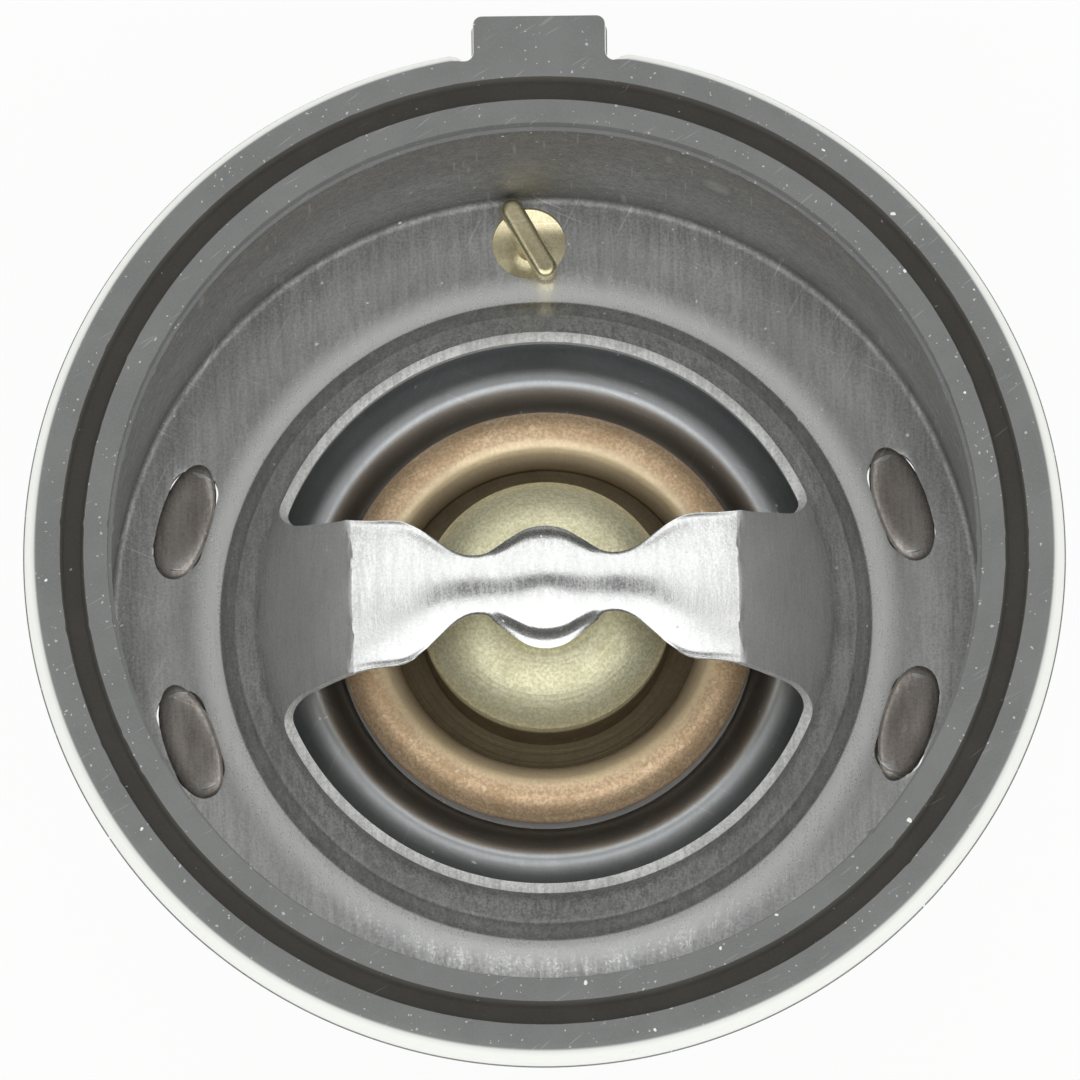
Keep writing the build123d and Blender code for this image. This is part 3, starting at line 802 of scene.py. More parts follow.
# darker brownish rubber in the groove, with painted shade of the recess
GROOVE_RUBBER_AND_SHADE = Rubber("groove_rubber_and_shade", (0.085, 0.079, 0.07), 0.85, bloom=(0.13, 0.122, 0.11),
                       specks=0.015, gloss=0.12)
BOOT_RUBBER = Rubber("boot_rubber_black", (0.035, 0.035, 0.035), 0.6, bloom=(0.08, 0.08, 0.08))
WASHER_PLASTIC = Plain("washer_plastic_white", (0.78, 0.78, 0.74), 0.4, dark=(0.6, 0.6, 0.55))
WAX = Plain("copper_filled_wax", (0.6, 0.42, 0.25), 0.5, dark=(0.4, 0.24, 0.12))

NODE_FINISH: dict[str, Finish] = {
    "flange_cup": PRESSED_STEEL,
    "gasket": SEAL_RUBBER,
    "lower_frame": FRAME_STEEL,
    "piston": GROUND_STEEL,
    "main_spring": WIRE_STEEL,
    "capsule_cup": COPPER,
    "guide_cover": BRASS,
    "piston_boot": BOOT_RUBBER,
    "guide_washer": WASHER_PLASTIC,
    "wax_charge": WAX,
    "valve_disc": VALVE_STEEL,
    "disc_retainer": VALVE_STEEL,
    "bypass_stem": GROUND_STEEL,
    "bypass_spring_seat": FRAME_STEEL,
    "bypass_spring": WIRE_STEEL,
    "bypass_disc": VALVE_STEEL,
    "bypass_washer": FRAME_STEEL,
    "bypass_clip": WIRE_STEEL,
    "vent_pin": COIN_BRASS,
}


# ---------------------------------------------------------------------------- mesh making


def mesh_object(name: str, points: Iterable[Point], faces: Iterable[Sequence[int]],
                finish: Finish, sharp: float = 35.0) -> bpy.types.Object:
    """Make an object from points in millimetres.

    Args:
        name: the object's name.
        points: corners, in millimetres.
        faces: indices of each face's corners.
        finish: its finish.
        sharp: angle in degrees over which an edge is drawn sharp.

    Returns:
        The object, linked to the scene.
    """
    mesh = bpy.data.meshes.new(name)
    mesh.from_pydata([[c * MM for c in p] for p in points], [], [list(f) for f in faces])
    mesh.validate()
    made = bpy.data.objects.new(name, mesh)
    bpy.context.scene.collection.objects.link(made)
    mesh.materials.append(finish.material())
    soften(made, sharp)
    return made


def soften(made: bpy.types.Object, sharp: float) -> None:
    """Face normals outward and shade smooth up to an angle in degrees.

    Args:
        made: the object.
        sharp: the angle.
    """
    mesh = made.data
    work = bmesh.new()
    work.from_mesh(mesh)
    bmesh.ops.recalc_face_normals(work, faces=work.faces)
    work.to_mesh(mesh)
    work.free()
    mesh.shade_smooth()
    mesh.set_sharp_from_angle(angle=math.radians(sharp))


def face_up(made: bpy.types.Object) -> None:
    """Turn an open sheet over where most of it faces down.

    Args:
        made: the object.
    """
    mesh = made.data
    if sum(face.normal.z * face.area for face in mesh.polygons) < 0:
        mesh.flip_normals()


def stand_for(made: bpy.types.Object, body: Body, node: str) -> bpy.types.Object:
    """Ride a piece on its body in place of a CAD node.

    Args:
        made: the object.
        body: the body it rides on.
        node: the CAD node it stands for.

    Returns:
        The same piece.
    """
    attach(made, body.value)
    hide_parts(node)
    return made


def grid_faces(rows: int, columns: int, close_rows: bool = False, close_columns: bool = True,
               first: int = 0) -> list[tuple[int, int, int, int]]:
    """Quads of a grid whose corners run row by row.

    Args:
        rows: number of rows.
        columns: corners in a row.
        close_rows: join the last row to the first.
        close_columns: join each row's end to its start.
        first: index of the first corner.

    Returns:
        The quads.
    """
    faces = []
    for r in range(rows if close_rows else rows - 1):
        below = (r + 1) % rows
        for c in range(columns if close_columns else columns - 1):
            beside = (c + 1) % columns
            faces.append((first + r * columns + c, first + r * columns + beside,
                          first + below * columns + beside, first + below * columns + c))
    return faces


def revolve(profile: Profile, columns: int) -> list[Point]:
    """Rings of corners of a section, given as radius and level, turned round the axis."""
    turns = [2 * math.pi * k / columns for k in range(columns)]
    return [(r * math.cos(a), r * math.sin(a), z) for r, z in profile for a in turns]


def arc(centre: tuple[float, float], radius: float, start: float, end: float,
        steps: int) -> Profile:
    """Points along an arc, ends included, with angles in degrees."""
    angles = [math.radians(start + (end - start) * k / steps) for k in range(steps + 1)]
    return [(centre[0] + radius * math.cos(a), centre[1] + radius * math.sin(a)) for a in angles]


def spread(start: tuple[float, float], end: tuple[float, float], steps: int) -> Profile:
    """Points between two points, both left out."""
    return [(start[0] + (end[0] - start[0]) * k / steps, start[1] + (end[1] - start[1]) * k / steps)
            for k in range(1, steps)]


def smooth_step(value: float, low: float, high: float) -> float:
    """0 below low, 1 above high, smooth between."""
    t = min(max((value - low) / (high - low), 0.0), 1.0)
    return t * t * (3 - 2 * t)


FOOT_TURNS = (-17.4, 17.4, 162.6, 197.4)


@dataclass
class SealRing:
    """The rubber ring with its two lips, groove and tab."""

    face_r: float = 30.0
    bulge: float = 0.8
    base: float = 0.1
    top: float = 4.0
    groove_outer_r: float = 28.65
    groove_inner_r: float = 27.3
    groove_depth: float = 1.3
    lip_inner_r: float = 25.85
    lip_thickness: float = 1.3
    tab_half: float = 3.95
    tab_reach_r: float = 32.4
    tab_corner: float = 0.55
    tab_root: float = 0.5
    turn: float = -0.85
    flash: float = 0.22
    columns: int = 420

    def build(self) -> bpy.types.Object:
        """Make the ring and have it stand for the CAD node.

        Returns:
            The ring.
        """
        outline = self._outline()
        rows = self._rows(outline)
        points = []
        turn = math.radians(self.turn)
        for row in rows:
            for x, y, z in row:
                points.append((x * math.cos(turn) - y * math.sin(turn),
                               x * math.sin(turn) + y * math.cos(turn), z))
        faces = grid_faces(len(rows), len(outline), close_rows=True)
        made = mesh_object("seal_ring", points, faces, SEAL_RUBBER, 40.0)
        # the groove's faces get the darker rubber, with painted shade
        made.data.materials.append(GROOVE_RUBBER_AND_SHADE.material())
        low, high = self.top - self.groove_depth - 0.1, self.top - 0.07
        for face in made.data.polygons:
            reach = math.hypot(face.center.x, face.center.y) / MM
            within = self.groove_inner_r - 0.05 < reach < self.groove_outer_r + 0.05
            face.material_index = int(within and low < face.center.z / MM < high)
        return stand_for(made, Body.HOUSING, "gasket")

    def _outline(self) -> list[tuple[float, float, float, float, float]]:
        """Plan of the outer edge: x, y, outward normal and share of the bulge.

        Returns:
            The corners, once round.
        """
        h, q, c = self.tab_half, self.tab_root, self.tab_corner
        centre_y = math.sqrt((self.face_r + q) ** 2 - (h + q) ** 2)
        root = math.degrees(math.atan2(centre_y, h + q))
        side = []
        for k in range(5):
            angle = math.radians(root + 180 + (180 - root - 180) * k / 4)
            nx, ny = -math.cos(angle), -math.sin(angle)
            side.append((h + q - q * nx, centre_y - q * ny, nx, ny, 0.0))
        side += [(h, y, 1.0, 0.0, 0.0) for y in (centre_y + 0.4, centre_y + 0.9, centre_y + 1.3)]
        for x, y in arc((h - c, self.tab_reach_r - c), c, 0, 90, 6):
            side.append((x, y, (x - h + c) / c, (y - self.tab_reach_r + c) / c, 0.0))
        side += [(h - c - step, self.tab_reach_r, 0.0, 1.0, 0.0) for step in (0.6, 1.3, 2.2, 3.1)]
        ring = []
        start, end = 180 - root, 360 + root
        count = self.columns
        for k in range(1, count):
            degree = start + (end - start) * k / count
            angle = math.radians(degree)
            away = min(degree - start, end - degree)
            share = smooth_step(away, 0.0, 1.2)
            ring.append((self.face_r * math.cos(angle), self.face_r * math.sin(angle),
                         math.cos(angle), math.sin(angle), share))
        mirrored = [(-x, y, -nx, ny, b) for x, y, nx, ny, b in reversed(side)]
        return side + mirrored + ring

    def _rows(self, outline: list[tuple[float, float, float, float, float]]) -> list[list[Point]]:
        """Rings of corners, from the outer wall's foot over the lips and back underneath.

        Args:
            outline: the plan of the outer edge.

        Returns:
            The rings.
        """
        chance = random.Random(7)
        rows = []
        height = self.top - self.base
        wall = [(-0.3, self.base, 0), (-0.1, self.base + 0.02, 0), (0.0, self.base + 0.12, 0)]
        for k in range(1, 12):
            z = self.base + height * k / 12
            wall.append((0.0, z, 1))
        middle = self.base + height * 0.46
        wall += [(0.0, middle - 0.07, 1), (0.075, middle - 0.02, 1), (0.075, middle + 0.02, 1),
                 (0.0, middle + 0.07, 1)]
        wall.sort(key=lambda w: w[1])
        wall += [(0.0, self.top - 0.2, 0), (-0.05, self.top - 0.07, 0), (-0.2, self.top, 0)]
        for off, z, bulged in wall:
            t = (z - self.base) / height
            swell = self.bulge * (1 - (abs(t - 0.47) / 0.53) ** 2.1) if 0 < t < 1 else 0.0
            rows.append([(x + nx * (off + max(swell, 0) * b), y + ny * (off + max(swell, 0) * b), z)
                         for x, y, nx, ny, b in outline])
        go, gi, deep = self.groove_outer_r, self.groove_inner_r, self.top - self.groove_depth
        top, lip = self.top, self.lip_inner_r
        inner = [(go + 0.45, top, 0.0), (go + 0.12, top, 0.3), (go + 0.03, top - 0.03, 0.8),
                 (go, top - 0.12, 1.0), (go - 0.1, deep + 0.12, 0.2), (go - 0.22, deep, 0),
                 (gi + 0.22, deep, 0), (gi + 0.1, deep + 0.12, 0.2), (gi, top - 0.12, 1.0),
                 (gi - 0.03, top - 0.03, 0.8), (gi - 0.12, top, 0.3), (lip + 0.5, top, 0),
                 (lip + 0.12, top, 0.3), (lip + 0.03, top - 0.03, 0.8), (lip, top - 0.12, 1),
                 (lip, top - 0.8, 0.5), (lip - 0.02, top - 1.12, 1)]
        flash_z = self.top - self.lip_thickness + 0.06
        inner += [(self.lip_inner_r - self.flash, flash_z, -1.6),
                  (self.lip_inner_r - self.flash, flash_z - 0.04, -1.6)]
        inner += [(self.lip_inner_r + 0.05, self.top - self.lip_thickness, 0), (27.35, 2.3, 0),
                  (28.95, 2.3, 0), (28.95, 1.7, 0), (27.45, 1.7, 0), (26.85, 1.1, 0),
                  (26.85, self.base, 0), (29.4, self.base, 0)]
        waves = [(chance.uniform(0, 6.28), chance.randint(5, 160), chance.uniform(0.3, 1.0))
                 for _ in range(14)]
        nicks = [(chance.uniform(0, 360), chance.uniform(0.15, 0.5), chance.uniform(0.03, 0.09))
                 for _ in range(26)]
        for r, z, ragged in inner:
            ring = []
            for x, y, *_ in outline:
                angle = math.atan2(y, x)
                rough = sum(s * math.sin(angle * n + p) for p, n, s in waves) / 14 * 0.035
                turn = math.degrees(angle) % 360
                for place, width, depth in nicks:
                    gap = abs(turn - place)
                    if gap < width:
                        rough += depth * (1 - gap / width)
                reach = r + rough * ragged
                ring.append((reach * math.cos(angle), reach * math.sin(angle), z))
            rows.append(ring)
        return rows


@dataclass
class FlangeStamping:
    """Rim, deep cup, seat neck and the bridge over it, pressed from one sheet."""

    sheet: float = 0.6
    rim_r: float = 28.9
    rim_top: float = 2.3
    mouth_r: float = 26.15
    wall_r: float = 26.0
    bend: float = 1.2
    corner: float = 0.5
    floor: float = -17.2
    dish_r: float = 23.4
    dish_rise: float = 0.52
    seat_foot_r: float = 19.4
    neck_r: float = 17.1
    neck_top: float = -14.1
    neck_height: float = 1.0
    leg_cells: int = 20
    columns: int = 280
    crease_x: float = 11.5
    crease_z: float = -8.3
    end_slope: float = 19.0
    arch_half: float = 8.0
    strip_top: float = -4.9
    crown_r: float = 15.0
    waist_crown_r: float = 5.0
    boss_r: float = 4.2
    boss_rise: float = 0.42
    leg_half: float = 5.25
    leg_fillet: float = 2.2
    leg_dip: float = 47.0
    leg_pull: float = 2.1
    skirt_flare: float = 0.65
    skirt_half: float = 3.3
    near_skirt: float = 0.6
    far_skirt: float = 0.25
    roll: float = 0.42
    roll_drop: float = 0.3
    edge_drop: float = 0.04
    slot_r: float = 22.4
    slot_size: tuple[float, float] = (6.5, 2.95)
    vent_r: float = 23.2
    vent_turn: float = 91.1
    vent_width: float = 4.4
    ease: float = 0.14
    half_widths: Profile = field(default_factory=lambda: [
        (0, 3.2), (1.1, 3.02), (2.1, 2.5), (3.1, 2.0), (4.2, 1.8), (5.2, 2.08), (6.2, 2.8),
        (7.2, 3.6), (8.2, 4.2), (9.0, 4.38), (10.2, 4.46), (11.5, 4.65), (12.0, 4.8)])

    def build(self) -> bpy.types.Object:
        """Make the stamping and have it stand for the CAD node.

        Returns:
            The stamping.
        """
        profile = self._profile()
        points = revolve(profile, self.columns)
        faces = grid_faces(len(profile), self.columns)
        last = (len(profile) - 1) * self.columns
        half = self.columns // 2
        span = range(-self.leg_cells, self.leg_cells + 1)
        right = [last + k % self.columns for k in span]
        left = [last + (half - k) % self.columns for k in span]
        rows = self._bridge_rows()
        grid = [right]
        for row in rows:
            grid.append(list(range(len(points), len(points) + len(row))))
            points += row
        grid.append(left)
        for upper, lower in zip(grid, grid[1:]):
            for k in range(len(upper) - 1):
                faces.append((upper[k], upper[k + 1], lower[k + 1], lower[k]))
        made = mesh_object("flange_stamping", points, faces, PRESSED_STEEL, 38.0)
        face_up(made)
        self._thicken(made)
        self._cut(made)
        soften(made, 38.0)
        return stand_for(made, Body.HOUSING, "flange_cup")

    def _profile(self) -> Profile:
        """Section of the visible side, from the rim's edge in to the neck's top.

        Returns:
            Radius and level of each corner.
        """
        b, c = self.bend, self.corner
        points: Profile = [(self.rim_r, self.rim_top), (28.2, self.rim_top)]
        points += arc((self.mouth_r + b, self.rim_top - b), b, 90, 178, 7)
        points += [(self.wall_r + 0.03, 0.3), (self.wall_r, 0.0)]
        points += spread((self.wall_r, 0.0), (self.wall_r, self.floor + c), 6)
        points += arc((self.wall_r - c, self.floor + c), c, 0, -90, 8)
        foot, out = self.seat_foot_r, self.dish_r
        points += spread((self.wall_r - c, self.floor), (out, self.floor), 3)
        for k in range(10):
            share = k / 10
            level = self.floor + self.dish_rise * share**2.2
            points.append((out + (foot + 0.15 - out) * share, level))
        low = self.floor + self.dish_rise
        rise = self.neck_top - self.neck_height - low
        run = foot - self.neck_r
        points += [(foot + 0.08, low + 0.02), (foot, low + 0.07), (foot - 0.08, low + 0.15)]
        top = (self.neck_r + 0.35, self.neck_top - self.neck_height - 0.32 * rise / run)
        ridge = (foot - 0.85, low + 0.07 + 0.85 * rise / run)
        points += spread(points[-1], ridge, 3)
        points += [(ridge[0] + 0.06, ridge[1] - 0.02), (ridge[0], ridge[1] + 0.05),
                   (ridge[0] - 0.08, ridge[1] + 0.07)]
        points += spread(points[-1], top, 4) + [top]
        points += [(self.neck_r + 0.14, top[1] + 0.22), (self.neck_r + 0.03, top[1] + 0.5)]
        points += [(self.neck_r, self.neck_top - 0.35), (self.neck_r, self.neck_top)]
        return points

    def _width(self, x: float) -> float:
        """Half width of the strip at x, smoothly through the listed places.

        Args:
            x: place along the bridge.

        Returns:
            The half width.
        """
        table = self.half_widths
        x = min(abs(x), table[-1][0] - 1e-6)
        k = max(i for i, (place, _) in enumerate(table) if place <= x)
        before = table[k - 1] if k else (-table[1][0], table[1][1])
        here, there = table[k], table[k + 1]
        after = (2 * there[0] - here[0], 2 * there[1] - here[1])
        if k + 2 < len(table):
            after = table[k + 2]
        step = there[0] - here[0]
        t = (x - here[0]) / step
        rise_here = (there[1] - before[1]) / (there[0] - before[0]) * step
        rise_there = (after[1] - here[1]) / (after[0] - here[0]) * step
        return ((2 * t**3 - 3 * t**2 + 1) * here[1] + (t**3 - 2 * t**2 + t) * rise_here
                + (3 * t**2 - 2 * t**3) * there[1] + (t**3 - t**2) * rise_there)

    def _spine(self, x: float) -> float:
        """Level of the strip's middle line at x, before the boss: an arch with straight ends.

        Args:
            x: place along the bridge.

        Returns:
            The level.
        """
        climb, arch = math.tan(math.radians(self.end_slope)), self.arch_half
        away = abs(x)
        if away < arch:
            return self.strip_top - climb * away**2 / (2 * arch)
        return self.strip_top - climb * (away - arch / 2)

    def _height(self, x: float, y: float) -> float:
        """Level of the bridge's upper side: an arched strip, crowned across, with a soft boss.

        Args:
            x: place along the bridge.
            y: place across it.

        Returns:
            The level.
        """
        crown = self.waist_crown_r
        crown += (self.crown_r - crown) * smooth_step(abs(x), 5.5, 11.5)
        crown += 2.4 * (1 - smooth_step(abs(x), 1.0, 3.4))
        level = self._spine(x) - crown + math.sqrt(max(crown**2 - y * y, 0.2))
        reach = math.hypot(x, y)
        return level + self.boss_rise * (1 - smooth_step(reach, 0.0, self.boss_r))

    def _section(self, x: float) -> list[Point]:
        """Corners across the bridge at x, from -Y to +Y.

        Args:
            x: place along the bridge.

        Returns:
            The corners.
        """
        near = self._half_section(x, self.skirt_flare, self.near_skirt)
        far = self._half_section(x, self.skirt_flare * 0.5, self.far_skirt)
        bow = (abs(x) / self.crease_x) ** 6
        row = []
        for k in range(-self.leg_cells, self.leg_cells + 1):
            y, z = (near if k < 0 else far)[abs(k)]
            shift = math.copysign(0.12 - 0.42 * (y / 4.65) ** 2, x) * bow
            row.append((x + shift, math.copysign(y, k), z))
        return row

    def _half_section(self, x: float, flare: float, depth: float) -> Profile:
        """Distance from the middle line and level, from the middle out to the edge.

        Args:
            x: place along the bridge.
            flare: how far the boss's skirt spreads.
            depth: the skirt's depth.

        Returns:
            Distance and level of each corner.
        """
        wide = self._width(x)
        cells = self.leg_cells
        rolled = 6
        flat = cells - rolled
        skirt = math.sqrt(max(1 - (abs(x) / self.skirt_half) ** 2, 0.0))
        drop = self.roll_drop * (1 - smooth_step(abs(x), 5.0, 9.0))
        drop += depth * skirt + self.edge_drop
        edge = wide - self.roll
        half = []
        for k in range(cells + 1):
            if k <= flat:
                y = edge * k / flat
                z = self._height(x, y)
            else:
                t = (k - flat) / rolled
                start = self._height(x, edge)
                fall = (self._height(x, edge) - self._height(x, edge - 0.1)) / 0.1
                p0, p1 = (edge, start), (edge + self.roll * 0.5, start + fall * self.roll * 0.5)
                p3 = (wide + flare * skirt, start - drop)
                p2 = (wide + 0.02 * skirt, start - drop * (0.45 + 0.42 * skirt))
                a, b, c, d = (1 - t) ** 3, 3 * t * (1 - t) ** 2, 3 * t * t * (1 - t), t**3
                y = a * p0[0] + b * p1[0] + c * p2[0] + d * p3[0]
                z = a * p0[1] + b * p1[1] + c * p2[1] + d * p3[1]
            half.append((y, z))
        return half

    def _bridge_rows(self) -> list[list[Point]]:
        """Rows of corners from the neck at +X over the bridge to the neck at -X.

        Returns:
            The rows.
        """
        stations = []
        x = self.crease_x
        while x > 0.12:
            stations.append(x)
            x -= 0.13 if x > self.crease_x - 0.5 else (0.2 if x < 4.2 else 0.3)
        strip = [self._section(s) for s in stations] + [self._section(0.0)]
        strip += [self._section(-s) for s in reversed(stations)]
        right = self._leg_rows(strip[0], 1)
        left = self._leg_rows(strip[-1], -1)
        return right + strip + list(reversed(left))

    def _leg_rows(self, crease: list[Point], side: int) -> list[list[Point]]:
        """Rows between the neck and the crease; the side edges round into the neck.

        Args:
            crease: the corners of the crease.
            side: 1 at +X and -1 at -X.

        Returns:
            The rows, from the neck's side.
        """
        rows = []
        steps = [0.04, 0.08, 0.12, 0.17, 0.22, 0.27, 0.32, 0.37, 0.42, 0.48, 0.55, 0.63, 0.71, 0.79,
                 0.86, 0.92, 0.965]
        dip = math.radians(self.leg_dip)
        last = crease[-1]
        lean = Vector((self.crease_x + self.leg_pull * math.cos(dip), 0.0,
                       self.crease_z - self.leg_pull * math.sin(dip)))
        foot = Vector((self.neck_r, 0.0, self.neck_top))
        rise = foot + Vector((-0.35, 0, 1.0))
        corner = math.radians(360 * self.leg_cells / self.columns)
        wide = self.neck_r * math.sin(corner)
        for t in steps:
            mid = ((1 - t) ** 3 * foot + 3 * t * (1 - t) ** 2 * rise + 3 * t * t * (1 - t) * lean
                   + t**3 * Vector((self.crease_x, 0.0, self.crease_z)))
            inward = self.neck_r - mid.x
            round_off = max(1 - inward / self.leg_fillet, 0.0)
            flare = 1 - math.sqrt(max(1 - round_off**2, 0.0))
            narrow = self.leg_half + (abs(last[1]) - self.leg_half) * smooth_step(t, 0.2, 1.0)
            half = narrow + (wide - narrow) * flare
            row = []
            for index, end in enumerate(crease):
                share = (index - self.leg_cells) / self.leg_cells
                angle = corner * share
                across = half * (share * (1 - flare) + math.sin(angle) / math.sin(corner) * flare)
                ring_x = math.sqrt(max(mid.x**2 - across**2 * (1 - t), 1.0))
                bow = smooth_step(t, 0.3, 1.0)
                x = ring_x + (abs(end[0]) - self.crease_x) * bow
                z = mid.z + (end[2] - self.crease_z) * bow
                row.append((side * x, across, z))
            rows.append(row)
        return rows

    def _thicken(self, made: bpy.types.Object) -> None:
        """Give the pressed surface its sheet, on the side away from the viewer.

        Args:
            made: the object.
        """
        solid = made.modifiers.new("sheet", "SOLIDIFY")
        solid.thickness = self.sheet * MM
        solid.offset = -1.0
        solid.use_even_offset = True
        solid.thickness_clamp = 0.0
        # cut faces and eased edges get whitened steel, a painted highlight
        made.data.materials.append(SHEARED_STEEL_HIGHLIGHT.material())
        made.data.materials.append(EDGE_HIGHLIGHT.material())
        solid.material_offset_rim = 1
        apply_modifiers(made)

    def _cut(self, made: bpy.types.Object) -> None:
        """Punch the slots of the frame's feet and the vent hole, then ease all sheared edges.

        Args:
            made: the object.
        """
        tools = [self._punch(self.slot_r, turn, *self.slot_size) for turn in FOOT_TURNS]
        tools.append(self._punch(self.vent_r, self.vent_turn, self.vent_width, self.vent_width))
        for tool in tools:
            cut = made.modifiers.new("punch", "BOOLEAN")
            cut.operation = "DIFFERENCE"
            cut.solver = "EXACT"
            cut.object = tool
        ease = made.modifiers.new("sheared_edge", "BEVEL")
        ease.limit_method = "ANGLE"
        ease.angle_limit = math.radians(75)
        ease.width = self.ease * MM
        ease.segments = 2
        ease.material = 2
        ease.use_clamp_overlap = True
        apply_modifiers(made)
        for tool in tools:
            bpy.data.objects.remove(tool)

    def _punch(self, reach_r: float, turn: float, length: float,
               width: float) -> bpy.types.Object:
        """A prism with round ends that cuts the floor, long way round the axis.

        Args:
            reach_r: the hole's distance from the axis.
            turn: its angle round the axis, in degrees.
            length: its length.
            width: its width.

        Returns:
            The tool.
        """
        place = math.radians(turn)
        angle = place + math.pi / 2 if length > width else 0.0
        centre = (reach_r * math.cos(place), reach_r * math.sin(place))
        half, reach = width / 2, (length - width) / 2
        ring = arc((reach, 0), half, -90, 90, 16) + arc((-reach, 0), half, 90, 270, 16)
        if reach == 0:
            ring = arc((0, 0), half, 0, 360, 56)[:-1]
        count = len(ring)
        points = []
        for z in (self.floor - 1.5, self.floor + 1.5):
            for x, y in ring:
                points.append((centre[0] + x * math.cos(angle) - y * math.sin(angle),
                               centre[1] + x * math.sin(angle) + y * math.cos(angle), z))
        faces: list[Sequence[int]] = list(grid_faces(2, count))
        faces += [list(range(count))[::-1], list(range(count, 2 * count))]
        return mesh_object("punch", points, faces, PRESSED_STEEL)


@dataclass
class ClinchedFeet:
    """The frame's four feet, hammered down in the slots of the cup's floor."""

    ring_r: float = 22.4
    floor: float = -17.2
    half_length: float = 3.68
    half_width: float = 1.6
    crown: float = 0.46
    dish_r: float = 23.4
    dish_run: float = 4.0
    dish_rise: float = 0.52
    rings: int = 14
    columns: int = 64

    def build(self) -> list[bpy.types.Object]:
        """Make the feet.

        Returns:
            One piece for each foot.
        """
        chance = random.Random(11)
        made = []
        for number, turn in enumerate(FOOT_TURNS, 1):
            foot = self._foot(f"clinched_foot_{number}", math.radians(turn), chance)
            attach(foot, Body.HOUSING.value)
            made.append(foot)
        return made

    def _foot(self, name: str, angle: float, chance: random.Random) -> bpy.types.Object:
        """One closed pillow, a little fuller at one end and dented by the punch.

        Args:
            name: the piece's name.
            angle: its angle round the axis, in radians.
            chance: the random draws.

        Returns:
            The foot.
        """
        taper = chance.uniform(0.1, 0.2) * chance.choice((-1, 1))
        dents = [(chance.uniform(-2.4, 2.4), chance.uniform(-0.7, 0.7), chance.uniform(0.5, 1.2),
                  chance.uniform(0.01, 0.035)) for _ in range(5)]
        points: list[Point] = []
        shares = [k / self.rings for k in range(1, self.rings + 1)]
        for share in shares:
            for k in range(self.columns):
                turn = 2 * math.pi * k / self.columns
                u, v = self._rim(turn, taper)
                points.append(self._place(u * share, v * share, share, angle, dents))
        for k in range(self.columns):
            x, y, z = points[-self.columns]
            points.append((x, y, z - 0.35))
        faces: list[Sequence[int]] = list(grid_faces(self.rings + 1, self.columns))
        top, bottom = len(points), len(points) + 1
        points += [self._place(0.0, 0.0, 0.0, angle, dents),
                   (self.ring_r * math.cos(angle), self.ring_r * math.sin(angle), self.floor - 0.4)]
        last = self.rings * self.columns
        for k in range(self.columns):
            beside = (k + 1) % self.columns
            faces += [(top, beside, k), (bottom, last + k, last + beside)]
        return mesh_object(name, points, faces, FOOT_STEEL, 50.0)

    def _rim(self, turn: float, taper: float) -> tuple[float, float]:
        """A point of the outline, along and across the foot.

        Args:
            turn: angle round the outline, in radians.
            taper: how much fuller one end is.

        Returns:
            Place along and across.
        """
        c, s = math.cos(turn), math.sin(turn)
        u = math.copysign(abs(c) ** 0.94, c) * self.half_length
        v = math.copysign(abs(s) ** 0.94, s) * self.half_width
        return u, v * (1 + taper * u / self.half_length * abs(u) / self.half_length)

    def _place(self, u: float, v: float, share: float, angle: float,
               dents: list[tuple[float, float, float, float]]) -> Point:
        """Level the pillow on the dished floor and put it at its slot.

        Args:
            u: place along the foot.
            v: place across it.
            share: how far out from the middle, from 0 to 1.
            angle: its angle round the axis, in radians.
            dents: place, width and depth of each dent.

        Returns:
            The corner.
        """
        along = angle + math.pi / 2
        x = self.ring_r * math.cos(angle) + u * math.cos(along) - v * math.sin(along)
        y = self.ring_r * math.sin(angle) + u * math.sin(along) + v * math.cos(along)
        share_in = max(min((self.dish_r - math.hypot(x, y)) / self.dish_run, 1.0), 0.0)
        dish = share_in**2.2 * self.dish_rise
        z = self.floor + dish - 0.06 + self.crown * (1 - share**5) ** 0.6
        for du, dv, width, depth in dents:
            z -= depth * math.exp(-((u - du) ** 2 + (v - dv) ** 2) / width**2) * (1 - share**4)
        return x, y, z


@dataclass
class ValveDisc:
    """The main valve's disc with its smooth raised ring."""

    sheet: float = 0.8
    hub_r: float = 11.92
    hub: float = -17.6
    crest_r: float = 14.6
    crest: float = -16.0
    shoulder: float = -17.45
    land_r: float = 17.2
    land: float = -17.25
    disc_r: float = 18.94
    steps: int = 30
    columns: int = 240

    def build(self) -> bpy.types.Object:
        """Make the disc and have it stand for the CAD node.

        Returns:
            The disc.
        """
        upper = self._upper()
        lower = [(r, z - self.sheet) for r, z in reversed(upper)]
        profile = upper + lower
        faces = grid_faces(len(profile), self.columns, close_rows=True)
        made = mesh_object("valve_disc_ring", revolve(profile, self.columns), faces, VALVE_STEEL,
                           50.0)
        return stand_for(made, Body.VALVE, "valve_disc")

    def _upper(self) -> Profile:
        """Section of the upper side, from the hub out to the edge.

        Returns:
            Radius and level of each corner.
        """
        start, low = self.hub_r + 0.66, self.shoulder
        points: Profile = [(self.hub_r, self.hub), (start - 0.1, self.hub)]
        for k in range(self.steps + 1):
            r = start + (self.disc_r - start) * k / self.steps
            if r < self.crest_r:
                share = (1 + math.cos(math.pi * (self.crest_r - r) / (self.crest_r - start))) / 2
                z = low + (self.crest - low) * share
            else:
                share = min((r - self.crest_r) / (self.land_r - self.crest_r), 1.0)
                z = self.land + (self.crest - self.land) * (1 + math.cos(math.pi * share)) / 2
            points.append((r, z))
        return points


